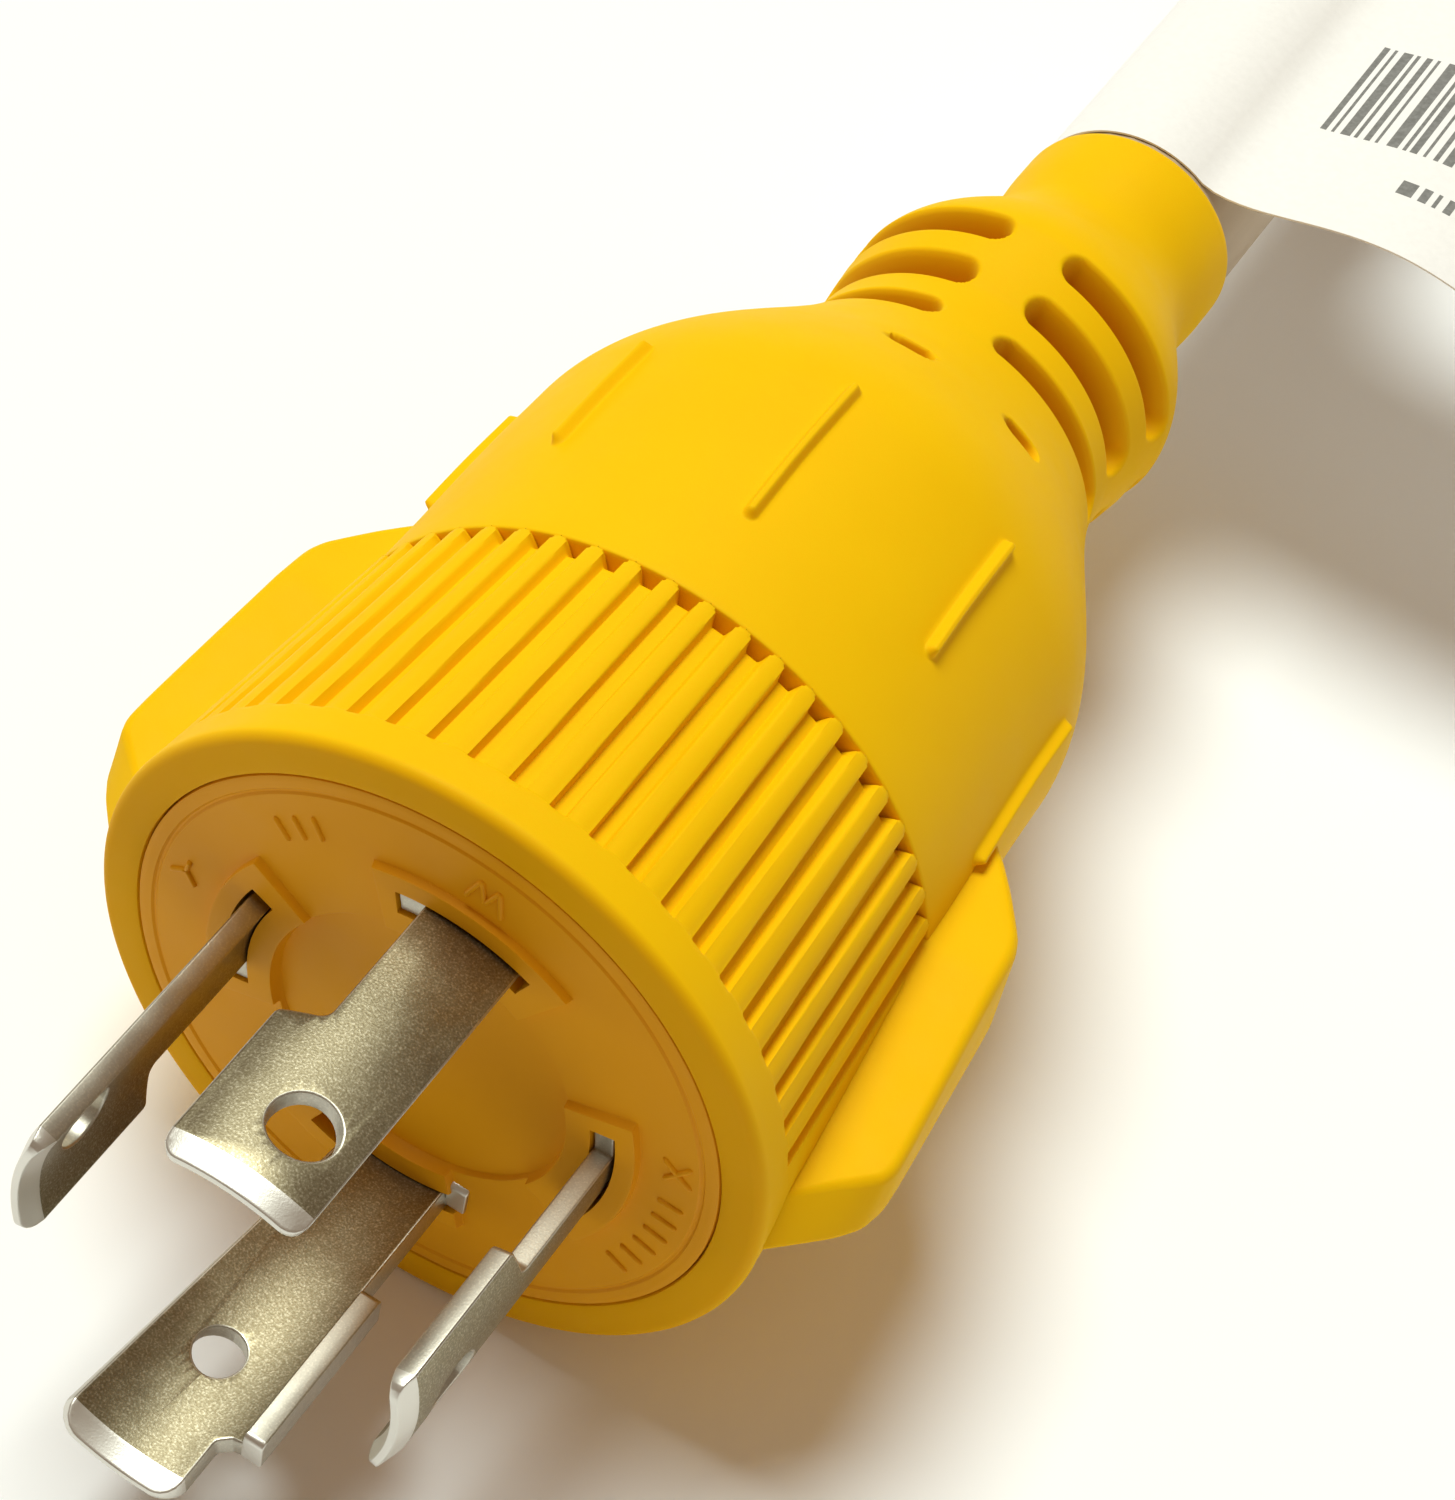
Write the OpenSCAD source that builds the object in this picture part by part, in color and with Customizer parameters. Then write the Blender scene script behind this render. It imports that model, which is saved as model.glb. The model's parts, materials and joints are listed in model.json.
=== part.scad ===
// Short four-wire adapter cord: a moulded four-blade locking plug with a ribbed, winged
// grip, a thick round cable with a paper flag label, and a moulded straight-blade connector.
// Millimetres. The origin is the centre of the plug's mating face, +Y runs along the plug
// towards its cable, the wings lie along X and +Z is up. The cord lies on z = -collar_r.

/* [Plug grip] */
// Radius of the plug's front rim
collar_r = 25; // [24.5:0.1:26]
// Length of the ribbed grip ring
ring_len = 24.3; // [23.8:0.1:25]
// Length of the smooth rim in front of the ribs
rim_len = 3.5; // [3:0.1:4]
// Radius over the ribs at their rear end
rib_rear_r = 23.4; // [23:0.1:23.6]
// Depth of the grooves between the ribs
groove_depth = 1.1; // [0.6:0.1:1.3]
// Width of a groove
groove_w = 1.15; // [0.8:0.05:1.4]
// Angle from one groove to the next
groove_step = 6.8; // [6.4:0.1:6.8]
// Grooves above the wings, and as many below
groove_count = 24; // [20:2:24]
// Reach of each wing from the plug's axis
wing_reach = 29.7; // [29:0.1:31]

/* [Face] */
// Radius of the blade carrier set into the rim
carrier_r = 21.9; // [21.5:0.1:22.2]
// Thickness of the blade carrier
carrier_t = 6; // [5:0.5:7]
// Height of the pads round the blade slots
pad_h = 0.5; // [0.3:0.1:0.8]

/* [Blades] */
// Inner radius of the curved blades
blade_in_r = 13.05; // [13:0.05:13.2]
// Outer radius of the curved blades
blade_out_r = 14.5; // [14.4:0.05:14.6]
// Reach of the three line blades in front of the face
blade_len = 23.7; // [21:0.1:24.5]
// Reach of the ground blade in front of the face
ground_len = 28.7; // [26:0.1:29.5]

/* [Cable] */
// Outer diameter of the cable's jacket
cable_d = 17; // [16.6:0.1:17.2]
// Outer radius of one insulated wire
wire_r = 2.4; // [2.2:0.1:2.5]
// Radius of one bare stranded conductor
strand_r = 1.6; // [1.4:0.1:1.7]

/* [Strain reliefs] */
// Distance from a mating face to the end of the strain relief's cuff
relief_end = 99; // [98:0.2:101]
// Width of one flex slot along the cable
slot_w = 2.2; // [1.8:0.1:2.6]
// Distance from one row of flex slots to the next
slot_pitch = 5.2; // [5:0.1:5.4]

/* [Connector] */
// Half width of the connector's body
con_r = 30; // [29:0.5:31]
// Wall thickness of the connector's shell
con_wall = 2.8; // [2.4:0.1:3.2]
// Thickness of the connector's contact face
con_face_t = 12; // [10:0.5:14]

/* [Hidden] */
$fn = 96;

yellow = "#f7c60f";
nickel = "#b5ad9c";
copper = "#c98a55";
inner_black = "#3a3a3c";

// Bore of the grip ring behind the blade carrier
ring_bore_r = 19.6;
// Outside of the rear cover: a slow taper, then a long S curve down to the waist behind it
cover_front_r = 23.3;
cover_mid_r = 22.75;
cover_mid_y = 45.7;
cover_end_y = 66;
waist_y = 72;
cover_wall = 2.8;
cover_steps = 14;
waist_steps = 6;
// Strain relief: stem inside the cover, waist, bulge and cuff
stem_y = 60;
stem_r = 14;
stem_len = 4.5;
waist_r = 12.8;
bulge_r = 13.7;
bulge_y = 79.2;
cuff_r = 8.9;
cuff_y = 91.5;
slot_depth = 3;
slot_rows = 3;
slot_first_y = 67.9;
spine_half = 14;
// Blade angles seen from the blade side, and each blade's outline across and along
blade_angle_x = 0;
blade_angle_w = 90;
blade_angle_y = 180;
blade_angle_g = 270;
neck_low = -5.7;
neck_high = 1.2;
hook_high = 4.1;
hook_y = -10.8;
blade_hole_r = 2.2;
ground_hole_r = 1.8;
ground_right = 5.3;
leg_t = 1.5;
slot_in_r = 12.97;
slot_out_r = 14.7;
slot_low = -26.5;
slot_high = 12.8;
ground_high = 20;
// Crimp barrels behind the blades and the contacts
barrel_r = 2.8;
barrel_angle = -6;
barrel_at_r = 13.78;
barrel_end = 24;
barrel_bore_y = 13;
core_end = 30;
// Wires run from the barrels to their place in the cable
wire_ring_r = 3.7;
wire_gather_y = 58;
wire_rings = 10;
jacket_in_r = 6.3;
jacket_start = 60;
// Connector: its face centre and its turn about Z, and the pattern of its openings
con_dir = [-1, 4, 0] / norm([-1, 4, 0]);
con_turn = 180 + atan2(1, 4);
con_half_h = 25;
con_face_at = [-30, 346.5, 0] + relief_end * con_dir;
con_slot_x = 13.5;
con_slot_h = 16;
con_slot_t = 2.2;
con_neutral_z = -11.5;
con_neutral_h = 13;
con_ground_z = 13;
con_ground_r = 3.3;
contact_len = 16;
contact_wall = 1;
con_barrel_end = 36;
con_core_end = 32;
// Route of the cable's centre line from the plug's cuff to the connector's cuff
cord_route = [[0, 99, 0], [0, 117, 0], [0, 134, 0], [0, 143, -0.5], [0, 152, -2],
  [0, 161, -4.5], [0, 170, -8.25], [0, 179, -12], [0, 188, -14.5], [0, 197, -16],
  [0, 206, -16.5], [-1, 226.5, -16.5], [-4, 242.5, -16.5], [-6.25, 251.5, -16],
  [-8.5, 260.5, -14.5], [-10.75, 269.5, -12], [-13, 278.5, -8.25], [-15.25, 287.5, -4.5],
  [-17.5, 296.5, -2], [-19.75, 305.5, -0.5], [-22, 314.5, 0], [-26, 330.5, 0],
  [-30, 346.5, 0]];
// Paper label: a wrap round the cable's far side and a flag that leaves it near the top,
// rises a little and then hangs
label_t = 0.3;
label_start = 99.8;
label_len = 38;
label_wrap = [57, 260];
flag_line = [[6, 6.9], [8.5, 7.1], [11.5, 7.9], [15, 8.9], [18.4, 9.6], [22, 9.8], [26, 9.3],
  [33, 7.3], [40, 4.9], [47, 2.6], [54, 0.8]];

// Straight pieces in each drawn arc
arc_steps = 12;

// Turns a shape drawn in the XZ plane of the object into place, with its height along Y
module along_y() rotate([-90, 0, 0]) mirror([0, 1, 0]) children();

module at_connector() translate(con_face_at) rotate([0, 0, con_turn]) children();

// Points of an arc in the drawing plane, from angle a0 to a1
function arc(r, a0, a1) = [for (i = [0:arc_steps])
  let (a = a0 + (a1 - a0) * i / arc_steps) r * [cos(a), sin(a)]];

// Ring sector in the drawing plane, from angle a0 to a1, between two radii
module sector_2d(r0, r1, a0, a1) polygon(concat(arc(r0, a0, a1), arc(r1, a1, a0)));

function ease(t) = t * t * (3 - 2 * t);
function cover_r(y) = y < cover_mid_y
  ? cover_front_r + (cover_mid_r - cover_front_r) * (y - ring_len) / (cover_mid_y - ring_len)
  : cover_mid_r - (cover_mid_r - waist_r) * ease((y - cover_mid_y) / (waist_y - cover_mid_y));

// Radius of the connector's shell at its rear end, where its strain relief takes over
con_end_r = cover_r(cover_end_y);
cover_ys = concat([ring_len], [for (i = [0:cover_steps])
  cover_mid_y + (cover_end_y - cover_mid_y) * i / cover_steps]);

function unit(v) = v / norm(v);
function route_dir(p, i) = unit(p[min(i + 1, len(p) - 1)] - p[max(i - 1, 0)]);
function side_of(d) = unit(cross(d, [0, 0, 1]));
function up_of(d) = cross(side_of(d), d);
// Ring i of a bar along the points p, square to the direction d
function ring_at(p, i, r, sides, d) = [for (k = [0:sides - 1])
  let (a = 360 * (k + 0.5) / sides) p[i] + r * (cos(a) * side_of(d) + sin(a) * up_of(d))];

// Round bar of radius r swept along the points p
module swept_bar(p, r, sides) {
  n = len(p);
  points = [for (i = [0:n - 1]) each ring_at(p, i, r, sides, route_dir(p, i))];
  first = [for (k = [0:sides - 1]) k];
  last = [for (k = [sides - 1:-1:0]) (n - 1) * sides + k];
  walls = [for (i = [0:n - 2]) for (k = [0:sides - 1])
    [i * sides + k, (i + 1) * sides + k,
     (i + 1) * sides + (k + 1) % sides, i * sides + (k + 1) % sides]];
  polyhedron(points, concat([first], walls, [last]), convexity = 4);
}

// ---------------------------------------------------------------- plug housing

module cover_outside() {
  rotate_extrude()
    polygon(concat([[0, ring_len]], [for (y = cover_ys) [cover_r(y), y]], [[0, cover_end_y]]));
}

module wings() {
  half_front = 1.9;
  half_rear = 5;
  intersection() {
    // Outline seen from above
    translate([0, 0, -8])
      linear_extrude(16)
        for (s = [-1, 1])
          polygon([[s * 20, 1.5], [s * 25, 2], [s * (wing_reach - 0.6), 6.2],
            [s * wing_reach, 8.8], [s * (wing_reach - 1.6), 27.4], [s * (wing_reach - 2.9), 29.9],
            [s * (wing_reach - 5.6), 33.4], [s * (wing_reach - 7.9), 35.4], [s * 20, 36.8]]);
    // Wedge seen from the side, thicker towards the cable
    rotate([90, 0, 90])
      translate([0, 0, -40])
        linear_extrude(80)
          polygon([[1, -half_front], [42, -half_rear], [42, half_rear], [1, half_front]]);
  }
}

module grooves() {
  half = groove_count / 2;
  slope = atan((collar_r - rib_rear_r) / ring_len);
  for (side = [0, 180])
    for (i = [0:groove_count - 1])
      rotate([0, 0, side + 90 + (i - half + 0.5) * groove_step])
        translate([collar_r, 0, rim_len])
          rotate([0, -slope, 0])
            translate([-groove_depth, -groove_w / 2, 0])
              cube([groove_depth * 3, groove_w, ring_len - rim_len - 0.9]);
}

module grip_ring() {
  color(yellow)
    difference() {
      union() {
        along_y()
          rotate_extrude()
            polygon([[0, 0], [collar_r - 0.6, 0], [collar_r, 0.6], [rib_rear_r, ring_len],
              [0, ring_len]]);
        wings();
      }
      along_y() grooves();
      along_y() cover_outside();
      along_y() translate([0, 0, -1]) cylinder(h = carrier_t + 1, r = carrier_r);
      along_y() cylinder(h = ring_len + 20, r = ring_bore_r);
    }
}

module rear_cover() {
  inside = [for (y = cover_ys) if (y < stem_y + stem_len) [min(ring_bore_r, cover_r(y) - cover_wall), y]];
  color(yellow)
    along_y()
      difference() {
        union() {
          cover_outside();
          cover_ribs();
        }
        rotate_extrude()
          polygon(concat([[0, ring_len - 1], [ring_bore_r, ring_len - 1]], inside,
            [[stem_r, stem_y + stem_len], [waist_r, stem_y + stem_len],
             [waist_r, cover_end_y + 1], [0, cover_end_y + 1]]));
      }
}

// Thin raised ribs on the rear cover, five above the wings and three below
module cover_ribs() {
  rib_step = 37.5;
  rib_start = 33.5;
  rib_end = 47;
  rib_w = 0.9;
  rib_h = 0.5;
  above = [for (i = [-2:2]) 90 + i * rib_step];
  below = [for (i = [-1:1]) 270 + i * rib_step];
  for (a = concat(above, below))
    rotate([0, 0, a])
      translate([cover_mid_r - 2, -rib_w / 2, rib_start])
        cube([2 + rib_h, rib_w, rib_end - rib_start]);
}

module strain_relief_shape() {
  bulge_steps = 10;
  neck = [for (i = [0:waist_steps])
    let (y = cover_end_y + (waist_y - cover_end_y) * i / waist_steps) [cover_r(y), y]];
  bulge = [for (i = [0:bulge_steps])
    let (t = i / bulge_steps)
      [bulge_r - (bulge_r - cuff_r) * ease(t), bulge_y + (cuff_y - bulge_y) * t]];
  color(yellow)
    along_y()
      difference() {
        rotate_extrude()
          polygon(concat([[cable_d / 2, stem_y], [stem_r, stem_y], [stem_r, stem_y + stem_len],
            [waist_r, stem_y + stem_len], [waist_r, cover_end_y]], neck, bulge,
            [[cuff_r + 0.2, relief_end], [cable_d / 2, relief_end]]));
        for (row = [0:slot_rows - 1])
          for (quarter = [0:3])
            rotate([0, 0, quarter * 90 + spine_half])
              translate([0, 0, slot_first_y + row * slot_pitch - slot_w / 2])
                rotate_extrude(angle = 90 - 2 * spine_half)
                  translate([bulge_r - slot_depth, 0]) square([slot_depth * 2, slot_w]);
      }
}

module plug_strain_relief() strain_relief_shape();

// ---------------------------------------------------------------- plug face and blades

// Leg of the ground blade, turned in from its edge
module ground_leg_2d(grow) {
  leg_low = 11.4;
  leg_high = 13.9;
  translate([ground_right - leg_t - grow, -leg_high - grow])
    square([leg_t + 2 * grow, leg_high - leg_low + 2 * grow]);
}

module blade_carrier() {
  pad_in_r = 11.1;
  pad_out_r = 16.2;
  pad_low = -37;
  pad_high = 17;
  color(yellow)
    along_y()
      difference() {
        union() {
          cylinder(h = carrier_t, r = carrier_r);
          translate([0, 0, -pad_h])
            linear_extrude(pad_h + 1)
              for (a = [0:90:270])
                sector_2d(pad_in_r, pad_out_r, a + pad_low, a + pad_high);
        }
        translate([0, 0, -0.3]) cylinder(h = 0.6, r = pad_in_r - 0.3);
        translate([0, 0, -2])
          linear_extrude(carrier_t + 4) {
            for (a = [0:90:180])
              sector_2d(slot_in_r, slot_out_r, a + slot_low, a + slot_high);
            sector_2d(slot_in_r, slot_out_r, blade_angle_g + slot_low, blade_angle_g + ground_high);
            ground_leg_2d(0.1);
          }
      }
}

// Curved plate between the blade radii, cut to an outline drawn across and along the blade
module curved_plate(angle, outline, hole_at, hole_r) {
  rotate([0, 0, angle])
    intersection() {
      difference() {
        translate([0, 0, -40]) cylinder(h = 60, r = blade_out_r);
        translate([0, 0, -41]) cylinder(h = 62, r = blade_in_r);
      }
      rotate([90, 0, 90])
        linear_extrude(blade_out_r + 5)
          difference() {
            polygon(outline);
            translate(hole_at) circle(r = hole_r);
          }
    }
}

module crimp_barrel(x, z, from, to, bore_from) {
  translate([x, z, from])
    difference() {
      cylinder(h = to - from, r = barrel_r);
      translate([0, 0, bore_from - from]) cylinder(h = to - bore_from + 1, r = strand_r);
    }
}

function barrel_x(angle) = barrel_at_r * cos(angle + barrel_angle);
function barrel_z(angle) = barrel_at_r * sin(angle + barrel_angle);

module line_blade(angle) {
  tip = 1.4;
  base_high = blade_in_r * sin(slot_high) - 0.1;
  outline = [[neck_low, carrier_t + 2], [neck_low, -blade_len + tip],
    [neck_low + tip, -blade_len], [hook_high - tip, -blade_len], [hook_high, -blade_len + tip],
    [hook_high, hook_y - 1], [hook_high - 1, hook_y - 0.2], [neck_high + 0.8, hook_y],
    [neck_high, hook_y + 0.8], [neck_high, -0.2], [base_high, -0.2], [base_high, carrier_t],
    [base_high - 2, carrier_t + 2]];
  color(nickel)
    along_y() {
      curved_plate(angle, outline, [-1.9, -17.8], blade_hole_r);
      crimp_barrel(barrel_x(angle), barrel_z(angle), carrier_t, barrel_end, barrel_bore_y);
    }
}

module blade_x() line_blade(blade_angle_x);
module blade_y() line_blade(blade_angle_y);
module blade_w() line_blade(blade_angle_w);

// Wider, longer ground blade with a leg turned towards the plug's axis
module blade_g() {
  tip = 1.6;
  left_root = -4.1;
  left_tip = -6.9;
  right_tip = 2.4;
  right_neck = 3.9;
  leg_front = -23.2;
  leg_back = -10.2;
  seat = -0.2;
  leg_in = ground_right - 0.2;
  outline = [[left_root, carrier_t + 2], [left_root, 0], [left_tip, -ground_len + tip],
    [left_tip + tip, -ground_len], [right_tip - tip, -ground_len],
    [right_tip, -ground_len + tip], [right_tip, leg_front - 0.6], [right_tip + 0.6, leg_front],
    [leg_in, leg_front], [leg_in, leg_back], [right_neck, leg_back], [right_neck, seat],
    [leg_in - 0.6, seat], [leg_in - 0.6, carrier_t], [right_tip, carrier_t + 2]];
  color(nickel)
    along_y() {
      curved_plate(blade_angle_g, outline, [-1.3, -18.5], ground_hole_r);
      translate([0, 0, leg_front]) linear_extrude(leg_back - leg_front) ground_leg_2d(0);
      translate([0, 0, seat]) linear_extrude(carrier_t - seat) ground_leg_2d(0);
      crimp_barrel(barrel_x(blade_angle_g), barrel_z(blade_angle_g), carrier_t, barrel_end,
        barrel_bore_y);
    }
}

// First-shot moulding that locks the blades behind the carrier
module plug_core() {
  color(inner_black)
    along_y()
      difference() {
        translate([0, 0, carrier_t]) cylinder(h = core_end - carrier_t, r = ring_bore_r - 0.1);
        for (a = [0:90:270])
          translate([barrel_x(a), barrel_z(a), carrier_t - 1]) cylinder(h = core_end, r = wire_r + 0.5);
        translate([0, 0, carrier_t - 1])
          linear_extrude(3.2)
            for (a = [0:90:270])
              sector_2d(slot_in_r - 0.2, slot_out_r + 0.2, a + slot_low - 1, a + 22);
      }
}

// ---------------------------------------------------------------- conductors

function wire_angle(place) = place * 90;
// Route of one wire: straight out of its crimp barrel, across to its place in the cable
// between bend_from and wire_gather_y, and straight on to the end of the cuff
function wire_route(x, z, place, from, bend_from) = concat(
  [[x, from, z]],
  [for (i = [0:wire_rings])
    let (t = ease(i / wire_rings), y = bend_from + (wire_gather_y - bend_from) * i / wire_rings)
      [x + (wire_ring_r * cos(wire_angle(place)) - x) * t, y,
       z + (wire_ring_r * sin(wire_angle(place)) - z) * t]],
  [[wire_ring_r * cos(wire_angle(place)), relief_end, wire_ring_r * sin(wire_angle(place))]]);

module plug_wire(angle, tint) {
  color(tint)
    swept_bar(wire_route(barrel_x(angle), barrel_z(angle), angle / 90, barrel_end, core_end),
      wire_r, 10);
}

module plug_wire_x() plug_wire(blade_angle_x, "#222222");
module plug_wire_y() plug_wire(blade_angle_y, "#b3242a");
module plug_wire_w() plug_wire(blade_angle_w, "#e8e8e4");
module plug_wire_g() plug_wire(blade_angle_g, "#2f7d3b");

module strands(x, z, from, to) {
  color(copper) along_y() translate([x, z, from]) cylinder(h = to - from, r = strand_r);
}

module plug_strands(angle) strands(barrel_x(angle), barrel_z(angle), barrel_bore_y, barrel_end);
module plug_strands_x() plug_strands(blade_angle_x);
module plug_strands_y() plug_strands(blade_angle_y);
module plug_strands_w() plug_strands(blade_angle_w);
module plug_strands_g() plug_strands(blade_angle_g);

module jacket_end_shape() {
  color("#cfcac0")
    along_y()
      translate([0, 0, jacket_start])
        difference() {
          cylinder(h = relief_end - jacket_start, r = cable_d / 2);
          translate([0, 0, -1]) cylinder(h = relief_end, r = jacket_in_r);
        }
}

module plug_jacket_end() jacket_end_shape();

module cord() {
  color("#cfcac0") swept_bar(cord_route, cable_d / 2, 12);
}

module flag_label() {
  inner = arc(cable_d / 2, label_wrap[1], label_wrap[0]);
  outer = arc(cable_d / 2 + label_t, label_wrap[0], label_wrap[1]);
  over = [for (i = [len(flag_line) - 1:-1:0]) flag_line[i] + [0, label_t]];
  color("white")
    along_y()
      translate([0, 0, label_start])
        linear_extrude(label_len)
          polygon(concat(inner, flag_line, over, outer));
}

// ---------------------------------------------------------------- connector

module flat_round_2d(r, half_h) {
  intersection() {
    circle(r = r);
    square([2 * r + 2, 2 * half_h], center = true);
  }
}

module con_profile(wall) {
  intersection() {
    rotate_extrude()
      polygon(concat([[0, 0], [con_r - wall, 0]],
        [for (y = cover_ys) if (y >= cover_mid_y)
          [con_r - (con_r - con_end_r) * ease((y - cover_mid_y) / (cover_end_y - cover_mid_y)) - wall, y]],
        [[0, cover_end_y]]));
    linear_extrude(cover_end_y) flat_round_2d(con_r, con_half_h - wall);
  }
}

module connector_shell() {
  color(yellow)
    at_connector()
      along_y()
        difference() {
          con_profile(0);
          intersection() {
            con_profile(con_wall);
            cylinder(h = stem_y + stem_len, r = con_r);
          }
          translate([0, 0, -1])
            linear_extrude(2) flat_round_2d(con_r - con_wall, con_half_h - con_wall);
          translate([0, 0, stem_y]) cylinder(h = stem_len, r = stem_r);
          cylinder(h = cover_end_y + 1, r = waist_r);
        }
}

// One opening of the face: a line slot, the neutral slot or the round ground hole
module con_slot_2d(place, grow) {
  if (place == 0 || place == 2)
    translate([(place == 0 ? 1 : -1) * con_slot_x, 0])
      square([con_slot_t + 2 * grow, con_slot_h + 2 * grow], center = true);
  if (place == 1)
    translate([0, con_neutral_z])
      square([con_slot_t + 2 * grow, con_neutral_h + 2 * grow], center = true);
  if (place == 3)
    translate([0, con_ground_z]) circle(r = con_ground_r + grow);
}

function con_x(place) = place == 0 ? con_slot_x : place == 2 ? -con_slot_x : 0;
function con_z(place) = place == 1 ? con_neutral_z : place == 3 ? con_ground_z : 0;

module connector_face() {
  color("#2b2b2d")
    at_connector()
      along_y()
        difference() {
          linear_extrude(con_face_t) flat_round_2d(con_r - con_wall - 0.05, con_half_h - con_wall - 0.05);
          for (place = [0:3])
            translate([0, 0, -1])
              linear_extrude(con_face_t + 2)
                con_slot_2d(place, 0);
        }
}

module connector_strain_relief() at_connector() strain_relief_shape();

// Female contact: a sleeve behind the face's opening with a crimp barrel at its back
module contact(place) {
  sleeve_end = con_face_t + contact_len - 4;
  color("#c9a35a")
    at_connector()
      along_y() {
        difference() {
          translate([0, 0, con_face_t])
            linear_extrude(sleeve_end - con_face_t + 2) con_slot_2d(place, contact_wall);
          translate([0, 0, con_face_t - 1])
            linear_extrude(sleeve_end - con_face_t) con_slot_2d(place, 0);
        }
        crimp_barrel(con_x(place), con_z(place), sleeve_end + 1, con_barrel_end, sleeve_end + 4);
      }
}

module contact_x() contact(0);
module contact_w() contact(1);
module contact_y() contact(2);
module contact_g() contact(3);

module connector_core() {
  color(inner_black)
    at_connector()
      along_y()
        difference() {
          translate([0, 0, con_face_t])
            linear_extrude(con_core_end - con_face_t)
              flat_round_2d(con_r - con_wall - 0.1, con_half_h - con_wall - 0.1);
          for (place = [0:3]) {
            translate([0, 0, con_face_t - 1])
              linear_extrude(contact_len)
                con_slot_2d(place, contact_wall + 0.1);
            translate([con_x(place), con_z(place), con_face_t])
              cylinder(h = con_core_end, r = barrel_r + 0.1);
          }
        }
}

module connector_wire(place, tint) {
  color(tint)
    at_connector()
      swept_bar(wire_route(con_x(place), con_z(place), place, con_barrel_end, con_barrel_end + 1),
        wire_r, 10);
}

module connector_wire_x() connector_wire(0, "#222222");
module connector_wire_w() connector_wire(1, "#e8e8e4");
module connector_wire_y() connector_wire(2, "#b3242a");
module connector_wire_g() connector_wire(3, "#2f7d3b");

module connector_strands(place)
  at_connector() strands(con_x(place), con_z(place), con_face_t + contact_len, con_barrel_end);

module connector_strands_x() connector_strands(0);
module connector_strands_w() connector_strands(1);
module connector_strands_y() connector_strands(2);
module connector_strands_g() connector_strands(3);

module connector_jacket_end() at_connector() jacket_end_shape();

grip_ring();
blade_carrier();
rear_cover();
plug_strain_relief();
plug_core();
blade_x();
blade_y();
blade_w();
blade_g();
plug_wire_x();
plug_wire_y();
plug_wire_w();
plug_wire_g();
plug_strands_x();
plug_strands_y();
plug_strands_w();
plug_strands_g();
plug_jacket_end();
cord();
flag_label();
connector_shell();
connector_face();
connector_strain_relief();
connector_core();
contact_x();
contact_y();
contact_w();
contact_g();
connector_wire_x();
connector_wire_y();
connector_wire_w();
connector_wire_g();
connector_strands_x();
connector_strands_y();
connector_strands_w();
connector_strands_g();
connector_jacket_end();
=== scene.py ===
import json
import math

import bmesh
import bpy
import numpy as np
from mathutils import Matrix, Vector


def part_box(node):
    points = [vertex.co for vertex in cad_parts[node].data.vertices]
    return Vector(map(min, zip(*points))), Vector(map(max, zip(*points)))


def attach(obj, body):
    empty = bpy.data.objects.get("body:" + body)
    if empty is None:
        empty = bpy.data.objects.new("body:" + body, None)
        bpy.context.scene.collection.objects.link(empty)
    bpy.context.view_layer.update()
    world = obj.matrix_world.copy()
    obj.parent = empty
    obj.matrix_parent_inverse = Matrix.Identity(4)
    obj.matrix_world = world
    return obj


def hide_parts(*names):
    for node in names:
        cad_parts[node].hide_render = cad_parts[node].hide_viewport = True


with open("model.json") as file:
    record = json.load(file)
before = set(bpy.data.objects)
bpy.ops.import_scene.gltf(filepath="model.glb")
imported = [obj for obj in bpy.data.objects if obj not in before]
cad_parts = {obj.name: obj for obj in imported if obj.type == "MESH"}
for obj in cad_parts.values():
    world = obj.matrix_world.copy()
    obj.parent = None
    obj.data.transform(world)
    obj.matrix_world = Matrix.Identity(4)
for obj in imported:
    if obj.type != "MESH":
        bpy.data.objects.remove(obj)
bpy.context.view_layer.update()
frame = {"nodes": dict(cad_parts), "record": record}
MM = 0.001


def mm_box(node):
    """Lowest and highest corner of a CAD node, in millimetres."""
    low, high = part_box(node)
    return Vector(low) / MM, Vector(high) / MM


# ---------------------------------------------------------------- sizes, in millimetres

COLLAR_R = mm_box("grip_ring")[1].z
RING_LEN = mm_box("rear_cover")[0].y
CARRIER_R = mm_box("blade_carrier")[1].x
RELIEF_END = mm_box("plug_strain_relief")[1].y
CORD_R = mm_box("plug_jacket_end")[1].x
FLOOR_Z = mm_box("grip_ring")[0].z
LINE_TIP = mm_box("blade_x")[0].y
GROUND_TIP = mm_box("blade_g")[0].y

# Ring grip
RIM_LEN = 3.5
RIB_REAR_R = 23.45
BORE_R = 19.6
# Grooves above and below: number, degrees from one to the next, half width and depth
GROOVES = 24
GROOVE_STEP = 6.8
GROOVE_HALF = 0.56
GROOVE_DEPTH = 0.85
# How far the backs of the ribs between them drop towards the grooves
CROWN = 0.12
# Rear cover: a slow taper, then a long S curve down to the waist behind it
COVER_FRONT_R = 23.3
COVER_MID_R = 22.75
COVER_MID_Y = 45.7
COVER_END_Y = 66.0
# Angle, front end and rear end of each raised rib on the cover
COVER_RIBS = (
    (13.2, 31.7, 45.6), (50.5, 34.6, 46.0), (87.5, 32.7, 47.0), (127.0, 34.4, 45.6),
    (165.0, 34.6, 45.0), (232.5, 34.6, 45.0), (270.0, 33.9, 46.6), (307.5, 34.6, 45.0),
)
RIB_HEIGHT = 0.75
# Angles, place and depth of the pits at the cover's rear
PIT_ANGLES = (57.0, 89.0, 237.0, 269.0)
PIT_Y = 58.0
PIT_DEPTH = 2.0
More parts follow.
